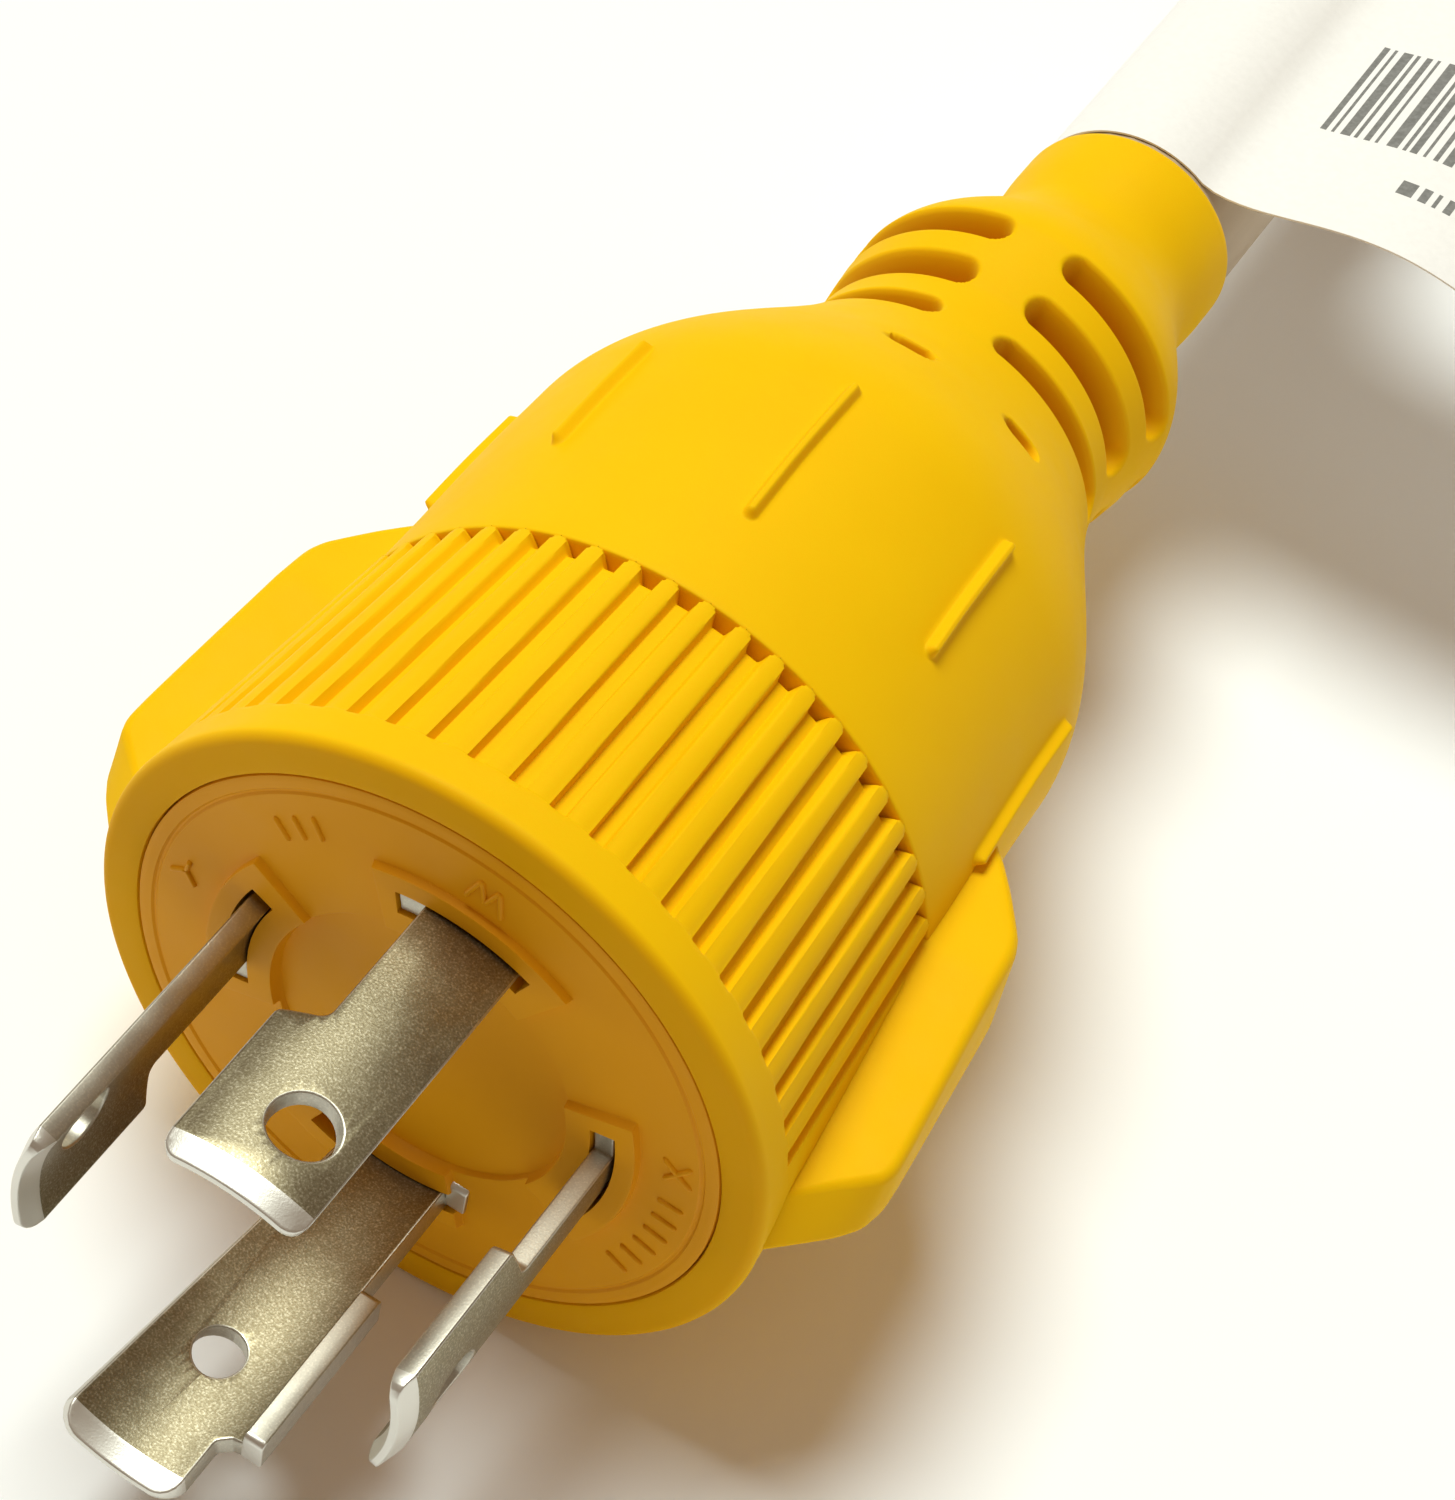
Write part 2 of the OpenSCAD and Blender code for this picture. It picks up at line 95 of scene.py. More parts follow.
# Strain relief: waist, bulge and cuff
WAIST_R = 12.8
WAIST_Y = 72.0
BULGE_R = 13.7
BULGE_Y = 79.2
CUFF_R = 8.9
CUFF_Y = 91.5
# Place along the plug and half width of each row of flex slots
SLOT_ROWS = ((67.5, 1.25), (73.1, 1.1), (78.2, 1.05))
SLOT_DEPTH = 3.5
# Half of the angle that each of the four spines between the slots covers
SPINE_HALF = 11.0
# Strength of the painted shade in slots and pits, and on the ring's front rim
SLOT_SHADE = 0.9
RIM_SHADE = 0.35
# Blades
BLADE_MID_R = 13.775
BLADE_HALF_T = 0.725
BLADE_ANGLES = {"x": 0.0, "w": 90.0, "y": 180.0, "g": 270.0}
# Face: the blades' slots, and the raised pads round them, by radius and by angle from the blade
SLOT_IN_R = 12.97
SLOT_OUT_R = 14.7
SLOT_LOW = -26.6
SLOT_HIGH = 12.8
GROUND_SLOT_HIGH = 20.0
PAD_IN = 11.1
PAD_OUT = 16.2
PAD_LOW = -35.0
PAD_HIGH = 19.0
# Fine groove just inside the carrier's edge
EDGE_GROOVE = (20.5, 20.8)

# Route of the cable's centre line; it starts at the end of the slightly bent strain relief
ROUTE = [
    (0.9, 99, 0), (0.9, 117, 0), (0.9, 134, 0), (0.85, 143, -0.5), (0.75, 152, -2),
    (0.6, 161, -4.5), (0.45, 170, -8.25), (0.25, 179, -12), (0.1, 188, -14.5), (0, 197, -16),
    (0, 206, -16.5), (-1, 226.5, -16.5), (-4, 242.5, -16.5), (-6.25, 251.5, -16),
    (-8.5, 260.5, -14.5), (-10.75, 269.5, -12), (-13, 278.5, -8.25), (-15.25, 287.5, -4.5),
    (-17.5, 296.5, -2), (-19.75, 305.5, -0.5), (-22, 314.5, 0), (-26, 330.5, 0),
    (-30, 346.5, 0),
]

# Label: its stretch along the cable, the paper's thickness, and how much its rear edge sags
LABEL_START = 99.6
LABEL_END = 137.4
LABEL_T = 0.16
LABEL_SAG = 0.012
# Line of the flag seen along the cable, from where it leaves the cable's top
FLAG_LINE = (
    (4.55, 7.35), (6, 7.0), (8.5, 7.2), (11.5, 8.0), (15, 9.0), (18.4, 9.7), (22, 9.9), (26, 9.4),
    (33, 7.4), (40, 5.0), (47, 2.7), (54, 0.9),
)
FLAG_STEPS = 46

# Connector at the far end: a round shell with its top and bottom cut flat
CON_R = 30.0
CON_HALF_H = 25.0
CON_WALL = 2.8
CON_FACE_T = 12.0
CON_DIR = Vector((-1.0, 4.0, 0.0)).normalized()
CON_FACE_AT = Vector(ROUTE[-1]) + RELIEF_END * CON_DIR
CON_TURN = math.pi + math.atan2(1.0, 4.0)

# ---------------------------------------------------------------- mesh makers


def add_object(name, data):
    piece = bpy.data.objects.new(name, data)
    bpy.context.scene.collection.objects.link(piece)
    return piece


def soften(mesh, angle):
    """Smooth shading, with edges sharp above the angle."""
    mesh.shade_smooth()
    mesh.set_sharp_from_angle(angle=math.radians(angle))


def new_object(name, points, faces, smooth_angle):
    """Object from points in millimetres, with its face normals turned outwards."""
    points = np.asarray(points, float).reshape(-1, 3)
    mesh = bpy.data.meshes.new(name)
    mesh.from_pydata([tuple(p) for p in points * MM], [], faces)
    mesh.update()
    work = bmesh.new()
    work.from_mesh(mesh)
    bmesh.ops.recalc_face_normals(work, faces=work.faces)
    work.to_mesh(mesh)
    work.free()
    soften(mesh, smooth_angle)
    return add_object(name, mesh)


def grid_faces(rows, columns):
    """Faces between rows of points; each row is a closed loop, and the last row joins the first."""
    faces = []
    for i in range(rows):
        for j in range(columns):
            a = i * columns + j
            b = i * columns + (j + 1) % columns
            c = ((i + 1) % rows) * columns + (j + 1) % columns
            d = ((i + 1) % rows) * columns + j
            faces.append((a, b, c, d))
    return faces


def tube_faces(rows, columns):
    """Faces between rows of points that are closed loops, open from the last row to the first."""
    return grid_faces(rows, columns)[:-columns]


def capped_faces(rows, columns):
    """A tube's faces, with one flat face on each end."""
    last = (rows - 1) * columns
    return tube_faces(rows, columns) + [tuple(range(columns)), tuple(range(last, last + columns))]


def all_round(radii, columns):
    """A radius for each row, repeated in every column."""
    return np.asarray(radii, float)[:, None] * np.ones((1, columns))


def turn_from(angles, place):
    """Degrees from a place on the circle, between -180 and 180; angles are in radians."""
    return (np.degrees(angles) - place + 180.0) % 360.0 - 180.0


def round_points(radii, angles, ys):
    """Points (row, column, xyz) of a round surface: radii by row and column, angle by column."""
    angles = np.asarray(angles)[None, :]
    ys = np.asarray(ys)
    if ys.ndim == 1:
        ys = ys[:, None]
    radii, angles, ys = np.broadcast_arrays(radii, angles, ys)
    return np.stack([radii * np.cos(angles), ys, radii * np.sin(angles)], axis=-1)


def smooth(x, low, high):
    """0 below low, 1 above high, and a smooth step between."""
    t = np.clip((x - low) / (high - low), 0.0, 1.0)
    return t * t * (3 - 2 * t)


def mark_shade(piece, values):
    """Point attribute for painted shade that darkens the plastic: 0 on open surfaces, up to 1 deep in
    slots.
    """
    shade = piece.data.attributes.new("shade", "FLOAT", "POINT")
    shade.data.foreach_set("value", np.asarray(values, np.float32).ravel())
    return piece


def join(pieces, name):
    """One object with the pieces' meshes."""
    with bpy.context.temp_override(
        active_object=pieces[0], selected_editable_objects=pieces, object=pieces[0]
    ):
        bpy.ops.object.join()
    pieces[0].name = name
    return pieces[0]


# ---------------------------------------------------------------- camera and light


def make_camera():
    """A long lens in front of the plug and above it, looking down along it."""
    right = Vector((0.84647, 0.50911, 0.15587))
    forward = Vector((-0.23901, 0.62493, -0.74319))
    up = Vector((-0.47577, 0.59184, 0.65066))
    place = Vector((62.85, -134.15, 206.96)) * MM
    data = bpy.data.cameras.new("camera")
    data.sensor_width = 36.0
    data.lens = 96.0
    data.shift_x = 0.0237
    data.shift_y = -0.0679
    data.clip_start = 0.01
    data.dof.use_dof = False
    camera = add_object("camera", data)
    rotation = Matrix((right, up, -forward)).transposed().to_4x4()
    camera.matrix_world = Matrix.Translation(place) @ rotation
    bpy.context.scene.camera = camera


def make_light():
    """A soft, high sun and a warm, even sky."""
    data = bpy.data.lights.new("key", "SUN")
    data.angle = 0.5
    data.energy = 2.85
    data.color = (0.93, 1.0, 0.95)
    lamp = add_object("key", data)
    aim = Vector((0.45, -0.25, -1.50))
    lamp.matrix_world = aim.to_track_quat("-Z", "Y").to_matrix().to_4x4()
    world = bpy.data.worlds.new("world")
    world.use_nodes = True
    sky = world.node_tree.nodes["Background"]
    sky.inputs["Color"].default_value = (1.0, 0.75, 0.55, 1)
    sky.inputs["Strength"].default_value = 0.30
    bpy.context.scene.world = world
    bpy.context.scene.view_settings.view_transform = "Standard"


# ---------------------------------------------------------------- materials


def node_material(name):
    """A new material, its nodes and links, and its shader."""
    material = bpy.data.materials.new(name)
    material.use_nodes = True
    nodes = material.node_tree.nodes
    return material, nodes, material.node_tree.links, nodes["Principled BSDF"]


def noise(nodes, links, scale, detail=3.0, rough=0.5, stretch=(1, 1, 1)):
    """Noise in object space; the scale is in features per metre."""
    place = nodes.new("ShaderNodeTexCoord")
    mapping = nodes.new("ShaderNodeMapping")
    mapping.inputs["Scale"].default_value = stretch
    texture = nodes.new("ShaderNodeTexNoise")
    texture.inputs["Scale"].default_value = scale
    texture.inputs["Detail"].default_value = detail
    texture.inputs["Roughness"].default_value = rough
    links.new(place.outputs["Object"], mapping.inputs["Vector"])
    links.new(mapping.outputs["Vector"], texture.inputs["Vector"])
    return texture.outputs["Fac"]


def ramp(nodes, links, source, stops):
    """Colour ramp over a source; stops are (position, colour)."""
    node = nodes.new("ShaderNodeValToRGB")
    while len(node.color_ramp.elements) < len(stops):
        node.color_ramp.elements.new(0.5)
    for element, (place, colour) in zip(node.color_ramp.elements, stops):
        element.position = place
        element.color = (*colour, 1.0)
    links.new(source, node.inputs["Fac"])
    return node.outputs["Color"]


def blend_by_attribute(material, base, attribute, colour):
    """Base colour that turns to another one where the mesh's attribute says so."""
    nodes, links = material.node_tree.nodes, material.node_tree.links
    factor = nodes.new("ShaderNodeAttribute")
    factor.attribute_name = attribute
    mix = nodes.new("ShaderNodeMix")
    mix.data_type = "RGBA"
    mix.inputs["B"].default_value = (*colour, 1.0)
    links.new(factor.outputs["Fac"], mix.inputs["Factor"])
    links.new(base, mix.inputs["A"])
    links.new(mix.outputs["Result"], nodes["Principled BSDF"].inputs["Base Color"])


def bump(nodes, links, source, strength, distance):
    node = nodes.new("ShaderNodeBump")
    node.inputs["Strength"].default_value = strength
    node.inputs["Distance"].default_value = distance
    links.new(source, node.inputs["Height"])
    return node


def moulded(name, light, dark, roughness, grain=0.00002):
    """Injection-moulded plastic: slight colour drift, fine grain and uneven gloss."""
    material, nodes, links, shader = node_material(name)
    drift = noise(nodes, links, 60.0, 4.0)
    links.new(ramp(nodes, links, drift, [(0.3, dark), (0.7, light)]), shader.inputs["Base Color"])
    gloss = noise(nodes, links, 350.0, 3.0)
    stops = [(0.25, (roughness - 0.05,) * 3), (0.75, (roughness + 0.07,) * 3)]
    links.new(ramp(nodes, links, gloss, stops), shader.inputs["Roughness"])
    fine = bump(nodes, links, noise(nodes, links, 2500.0, 2.0), 0.35, grain)
    broad = bump(nodes, links, noise(nodes, links, 130.0, 2.0), 0.25, 0.00012)
    links.new(fine.outputs["Normal"], broad.inputs["Normal"])
    links.new(broad.outputs["Normal"], shader.inputs["Normal"])
    return material, shader


def yellow_plastic():
    """The housing's plastic, painted deeper and redder as shade where the shade attribute marks a slot,
    a pit or the ring's front rim.
    """
    material, shader = moulded("grip_yellow", (0.94, 0.55, 0.0015), (0.90, 0.515, 0.0015), 0.58)
    plain = shader.inputs["Base Color"].links[0].from_socket
    blend_by_attribute(material, plain, "shade", (0.55, 0.16, 0.001))
    shader.inputs["Subsurface Weight"].default_value = 0.10
    shader.inputs["Subsurface Radius"].default_value = (1.0, 0.40, 0.02)
    shader.inputs["Subsurface Scale"].default_value = 0.0010
    shader.inputs["Specular IOR Level"].default_value = 0.06
    return material


def shaded_carrier_plastic():
    # Painted shade: the housing's yellow, darkened and turned orange for the face's shade
    material, shader = moulded("carrier_yellow", (0.82, 0.37, 0.003), (0.77, 0.34, 0.003), 0.50)
    shader.inputs["Specular IOR Level"].default_value = 0.14
    return material


def nickel_plate():
    """Stamped, nickel-plated brass: grainy flats, and painted highlights on the sheared edges and
    thinned tips.
    """
    material, nodes, links, shader = node_material("blade_nickel")
    shader.inputs["Metallic"].default_value = 1.0
    grain = noise(nodes, links, 6500.0, 2.0, 0.6)
    stops = [(0.30, (0.20, 0.165, 0.095)), (0.55, (0.28, 0.242, 0.155)), (0.70, (0.46, 0.415, 0.30))]
    # Painted highlights: edge and tip faces turn a bright grey
    blend_by_attribute(material, ramp(nodes, links, grain, stops), "edge", (0.70, 0.68, 0.62))
    wear = noise(nodes, links, 90.0, 4.0, 0.6)
    links.new(ramp(nodes, links, wear, [(0.35, (0.30,) * 3), (0.65, (0.46,) * 3)]),
              shader.inputs["Roughness"])
    grit = bump(nodes, links, grain, 0.4, 0.00002)
    links.new(grit.outputs["Normal"], shader.inputs["Normal"])
    return material


def jacket_rubber():
    """Extruded cable jacket with faint lengthwise streaks; its tan tone is partly painted warm shade on
    a light grey jacket.
    """
    material, nodes, links, shader = node_material("jacket_grey")
    streak = noise(nodes, links, 700.0, 3.0, 0.5, (1.0, 0.15, 1.0))
    links.new(ramp(nodes, links, streak, [(0.2, (0.48, 0.36, 0.225)), (0.8, (0.53, 0.405, 0.26))]),
              shader.inputs["Base Color"])
    shader.inputs["Roughness"].default_value = 0.5
    links.new(bump(nodes, links, streak, 0.3, 0.00008).outputs["Normal"], shader.inputs["Normal"])
    return material


def label_paper():
    material, nodes, links, shader = node_material("label_paper")
    fibre = noise(nodes, links, 1500.0, 4.0, 0.7)
    links.new(ramp(nodes, links, fibre, [(0.3, (0.90, 0.89, 0.87)), (0.7, (0.95, 0.94, 0.92))]),
              shader.inputs["Base Color"])
    shader.inputs["Roughness"].default_value = 0.55
    links.new(bump(nodes, links, fibre, 0.2, 0.00002).outputs["Normal"], shader.inputs["Normal"])
    return material


def label_ink():
    material, nodes, links, shader = node_material("label_ink")
    speck = noise(nodes, links, 2500.0, 3.0)
    links.new(ramp(nodes, links, speck, [(0.3, (0.17, 0.17, 0.16)), (0.7, (0.25, 0.25, 0.24))]),
              shader.inputs["Base Color"])
    shader.inputs["Roughness"].default_value = 0.6
    return material


def black_plastic(name):
    return moulded(name, (0.030, 0.030, 0.032), (0.022, 0.022, 0.024), 0.42)[0]


def wire_insulation(name, tint):
    return moulded(name, tint, tuple(0.85 * c for c in tint), 0.4)[0]


def brass_sheet(name, light, dark):
    material, nodes, links, shader = node_material(name)
    shader.inputs["Metallic"].default_value = 1.0
    tarnish = noise(nodes, links, 200.0, 4.0)
    links.new(ramp(nodes, links, tarnish, [(0.3, dark), (0.7, light)]), shader.inputs["Base Color"])
    links.new(ramp(nodes, links, noise(nodes, links, 900.0), [(0.3, (0.25,) * 3), (0.7, (0.4,) * 3)]),
              shader.inputs["Roughness"])
    return material


MATERIALS = {
    "grip_yellow": yellow_plastic(),
    "carrier_yellow": shaded_carrier_plastic(),
    "blade_nickel": nickel_plate(),
    "core_black": black_plastic("core_black"),
    "jacket_grey": jacket_rubber(),
    "label_paper": label_paper(),
    "face_black": black_plastic("face_black"),
    "contact_brass": brass_sheet("contact_brass", (0.76, 0.55, 0.28), (0.62, 0.42, 0.20)),
    "strand_copper": brass_sheet("strand_copper", (0.80, 0.42, 0.25), (0.66, 0.33, 0.18)),
    "wire_black": wire_insulation("wire_black", (0.03, 0.03, 0.03)),
    "wire_red": wire_insulation("wire_red", (0.45, 0.02, 0.02)),
    "wire_white": wire_insulation("wire_white", (0.80, 0.80, 0.77)),
    "wire_green": wire_insulation("wire_green", (0.02, 0.25, 0.06)),
}
INK = label_ink()

# ---------------------------------------------------------------- plug: grip ring


def mould_lines():
    """Angles of the ring's columns, close together at each groove's walls."""
    across = np.array([0.2, 0.46, 0.54, 0.62, 0.70, 0.80, 0.98])
    across = np.concatenate([-across[::-1], across])
    mean_r = 24.0
    half = GROOVES / 2
    angles = []
    for side in (90.0, 270.0):
        for k in range(GROOVES):
            centre = side + (k - half + 0.5) * GROOVE_STEP
            angles += list(math.radians(centre) + across / mean_r)
            angles.append(math.radians(centre + GROOVE_STEP / 2))
        gap_from = side + (half + 0.25) * GROOVE_STEP
        gap_to = side + 180 - (half + 0.25) * GROOVE_STEP
        angles += list(np.radians(np.linspace(gap_from, gap_to, 14)))
    return np.unique(np.round(angles, 6))


def groove_depth(angles, ys, radius):
    """Depth of the grooves between the ribs; ribs have rounded edges and rounded rear ends."""
    rib_end = RING_LEN - 0.02
    end_round = 0.40
    edge_round = 0.12
    depth = np.zeros(np.broadcast(angles, ys).shape)
    for side in (90.0, 270.0):
        turn = turn_from(angles, side)
        k = np.floor(turn / GROOVE_STEP)
        inside = np.abs(turn) < GROOVES / 2 * GROOVE_STEP
        off = (turn - (k + 0.5) * GROOVE_STEP) * math.pi / 180 * radius
        # The groove opens out where the ribs' rear ends are rounded
        near_end = np.clip((ys - (rib_end - end_round)) / end_round, 0, 1)
        spread = end_round * (1 - np.sqrt(1 - np.minimum(near_end, 0.999) ** 2))
        soft = 0.14 + 0.14 * smooth(ys, 6.0, 20.0)
        wall = 1 - smooth(np.abs(off) - spread, GROOVE_HALF - edge_round, GROOVE_HALF + soft)
        front = smooth(ys, RIM_LEN - edge_round, RIM_LEN + edge_round)
        deep = GROOVE_DEPTH * (1 + 1.5 * smooth(ys, rib_end - 0.9, rib_end - 0.4))
        # The ribs' backs are slightly round
        crown = CROWN * (1 - smooth(np.abs(off), 0.7, 1.48))
        depth = np.maximum(depth, inside * front * np.maximum(wall * deep, crown))
    return depth


def make_ring_body():
    """The ribbed ring: outside, rear face, bore and front rim as one closed strip."""
    angles = mould_lines()
    slope = (COLLAR_R - RIB_REAR_R) / RING_LEN
    fillet = 0.8
    front = [(COLLAR_R - fillet * (1 - math.sin(t)), fillet * (1 - math.cos(t)))
             for t in np.linspace(0, math.pi / 2, 7)]
    seat_depth = 6.0
    edge_in = [(CARRIER_R + 0.05, seat_depth), (CARRIER_R + 0.05, 0.25), (CARRIER_R + 0.12, 0.06),
               (CARRIER_R + 0.3, 0.0), (COLLAR_R - 2.0, 0.0)]
    side_y = [1.4, 2.2, 3.0]
    side_y += [RIM_LEN + off for off in (-0.14, -0.08, -0.03, 0.03, 0.08, 0.14)]
    side_y += [4.2, 6.0, 9.0, 12.0, 15.0, 18.0, 20.5, 22.3, 22.8, 23.1, 23.3, 23.5, 23.65, 23.8]
    side_y += [23.9, 24.0, 24.1, 24.18, 24.24, RING_LEN]
    side = [(COLLAR_R - slope * y, y) for y in side_y]
    back = [(BORE_R + 0.8, RING_LEN), (BORE_R, RING_LEN), (BORE_R, seat_depth)]
    profile = edge_in + front + side + back
    radii = all_round([p[0] for p in profile], len(angles))
    ys = np.array([p[1] for p in profile])
    first = len(edge_in) + len(front)
    rows = slice(first, first + len(side))
    radii[rows] -= groove_depth(angles[None, :], ys[rows][:, None], radii[rows])
    points = round_points(radii, angles, ys)
    # Painted shade on the front rim, which lies in the shade of the face
    deep = points[:, :, 1]
    shade = RIM_SHADE * (1 - smooth(deep, 0.05, 0.8)) * (deep < 1.0)
    body = new_object("grip_ring_body", points, grid_faces(*shade.shape), 50)
    return mark_shade(body, shade)


def wing_path():
    """Stations round a wing: reach, place along the plug, front slant and edge rounding."""
    corners = np.array([
        (23.6, 1.4, 1.4, 0.2), (24.9, 2.6, 1.4, 0.3), (26.9, 4.8, 1.4, 0.5), (28.3, 6.2, 1.2, 0.6),
        (29.3, 7.4, 0.8, 0.7), (29.65, 8.9, 0.3, 0.8), (29.5, 11.5, 0.0, 0.8), (28.95, 17.5, 0.0, 0.8),
        (28.45, 23.0, 0.0, 0.9), (28.1, 27.2, 0.0, 0.9), (27.6, 28.6, 0.0, 1.0), (26.7, 29.9, 0.0, 1.0),
        (25.4, 31.7, 0.0, 1.0), (24.0, 33.4, 0.0, 1.0), (22.9, 34.5, 0.0, 0.9), (21.8, 35.4, 0.0, 0.8),
        (20.7, 36.1, 0.0, 0.6),
    ])
    at = np.arange(len(corners))
    fine = np.linspace(0, len(corners) - 1, 90)
    path = np.stack([np.interp(fine, at, column) for column in corners.T], axis=1)
    # Round the corners a little
    for _ in range(2):
        path[1:-1] = (path[:-2] + 2 * path[1:-1] + path[2:]) / 4
    return path


def make_wing(side):
    """A finger wing: a wedge with a rounded edge, swept round its outline."""
    rows = []
    for x, y, slant, edge in wing_path():
        # Half of the wing's thickness grows towards the rear
        half = 1.25 + 0.135 * min(max(y, 2.0), 24.0)
        edge = min(edge, half - 0.2)
        # The root is buried in the ring's wall
        inward = min(22.3, x - edge - 0.4)
        row = []
        for t in np.linspace(0, 1, 6):
            row.append((inward + (x - edge - inward) * t, y + slant, half))
        for t in np.linspace(0, math.pi / 2, 8)[1:]:
            z = half - edge + edge * math.cos(t)
            row.append((x - edge + edge * math.sin(t), y + slant * z / half, z))
        below = [(px, 2 * y - py, -pz) for px, py, pz in reversed(row)]
        rows.append(row + below)
    points = np.array(rows)
    points[:, :, 0] *= side
    return new_object("wing", points, capped_faces(*points.shape[:2]), 35)


def make_grip_ring():
    return join([make_ring_body(), make_wing(1), make_wing(-1)], "grip_ring_skin")


# ---------------------------------------------------------------- plug: rear cover and strain relief


def capsule(along, across, start, end, half_width):
    """Distance outside a straight capsule; along and across are measured from its axis."""
    past = np.maximum(np.maximum(start - along, along - end), 0)
    return np.hypot(past, across) - half_width


def body_radius(y):
    """Outer radius of the moulding behind the ring, from the rear cover to the cuff."""
    taper = COVER_FRONT_R + (COVER_MID_R - COVER_FRONT_R) * (y - RING_LEN) / (COVER_MID_Y - RING_LEN)
    flank = COVER_MID_R - (COVER_MID_R - WAIST_R) * smooth(y, COVER_MID_Y, WAIST_Y)
    neck = WAIST_R + (BULGE_R - WAIST_R) * np.clip((y - WAIST_Y) / (BULGE_Y - WAIST_Y), 0, 1)
    fall = (BULGE_R - CUFF_R) * smooth(y, BULGE_Y, CUFF_Y)
    return np.where(y < COVER_MID_Y, taper, np.where(y < WAIST_Y, flank, neck - fall))


def lean(points):
    """Shifts the housing sideways: the cover sits a little askew and the strain relief bends."""
    cover_off, cuff_off = -0.5, 0.9
    y = points[..., 1]
    points[..., 0] += cover_off * (smooth(y, 25.0, 42.0) - smooth(y, 54.0, 70.0))
    points[..., 0] += cuff_off * smooth(y, 72.0, 93.0)
    return points


def cover_bump(angles, ys, radius):
    """Thin raised ribs: blunt at the front, fading into the dome at the rear."""
    height = np.zeros(np.broadcast(angles, ys).shape)
    for place, start, end in COVER_RIBS:
        across = turn_from(angles, place) * math.pi / 180 * radius
        gap = capsule(ys, across, start, end, 0.50)
        height = np.maximum(height, (1 - smooth(gap, -0.40, 0.12)) * RIB_HEIGHT)
    return height


def cover_pits(angles, ys):
    """Pits where the ends of a further row of slots run out in the cover's flank: 0 to 1."""
    flank_r = 16.0
    depth = np.zeros(np.broadcast(angles, ys).shape)
    for place in PIT_ANGLES:
        along = turn_from(angles, place) * math.pi / 180 * flank_r
        gap = capsule(along, ys - PIT_Y, -0.7, 0.7, 0.8)
        depth = np.maximum(depth, 1 - smooth(gap, -0.55, 0.25))
    return depth


def cover_angles():
    """Angles of the cover's columns, close together at the raised ribs."""
    angles = set(np.round(np.radians(np.arange(0, 360, 1.2)), 6))
    for place, _, _ in COVER_RIBS:
        angles.update(np.round(np.radians(place + np.linspace(-1.5, 1.5, 21)), 6))
    angles = np.array(sorted(angles))
    least_gap = 0.0004
    return angles[np.diff(angles, append=7.0) > least_gap]


def make_rear_cover():
    """The domed cover with its raised ribs and pits, closed along its inside."""
    angles = cover_angles()
    # Rows are close together at the front edge, at the ribs' ends and at the pits
    ys = np.concatenate([
        RING_LEN + np.array([0.02, 0.08, 0.25]),
        np.arange(25.2, 30.9, 1.0),
        np.arange(31.0, 36.0, 0.12),
        np.arange(36.0, 45.0, 0.8),
        np.arange(45.0, 49.2, 0.15),
        np.arange(49.5, 56.6, 0.45),
        np.arange(56.8, 59.6, 0.12),
        np.arange(59.8, COVER_END_Y, 0.5),
        [COVER_END_Y],
    ])
    radii = all_round(body_radius(ys), len(angles))
    radii[0] -= 0.12
    radii[1] -= 0.03
    radii += cover_bump(angles[None, :], ys[:, None], radii)
    pits = cover_pits(angles[None, :], ys[:, None])
    radii -= PIT_DEPTH * pits
    inner_y = [COVER_END_Y, 60.0, 45.0, RING_LEN, RING_LEN]
    inner_r = [WAIST_R, 14.4, 19.4, 19.6, 22.8]
    radii = np.vstack([radii, all_round(inner_r, len(angles))])
    points = lean(round_points(radii, angles, np.concatenate([ys, inner_y])))
    # Painted shade in the pits, deeper where the pits are deeper
    shade = np.zeros(radii.shape)
    shade[:len(pits)] = SLOT_SHADE * pits
    return mark_shade(new_object("rear_cover_skin", points, grid_faces(*shade.shape), 60), shade)


def slot_cut(angles, ys, radius):
    """Flex slots, 0 to 1: rows of four with rounded ends, between the four spines."""
    depth = np.zeros(np.broadcast(angles, ys).shape)
    pattern_turn = 2.0
    per_degree = math.pi / 180 * radius
    along = (np.degrees(angles) + pattern_turn) % 90.0 * per_degree
    for row_y, half_width in SLOT_ROWS:
        start = SPINE_HALF * per_degree + half_width
        end = (90.0 - SPINE_HALF) * per_degree - half_width
        gap = capsule(along, ys - row_y, start, end, half_width)
        depth = np.maximum(depth, 1 - smooth(gap, -0.70, 0.45))
    return depth


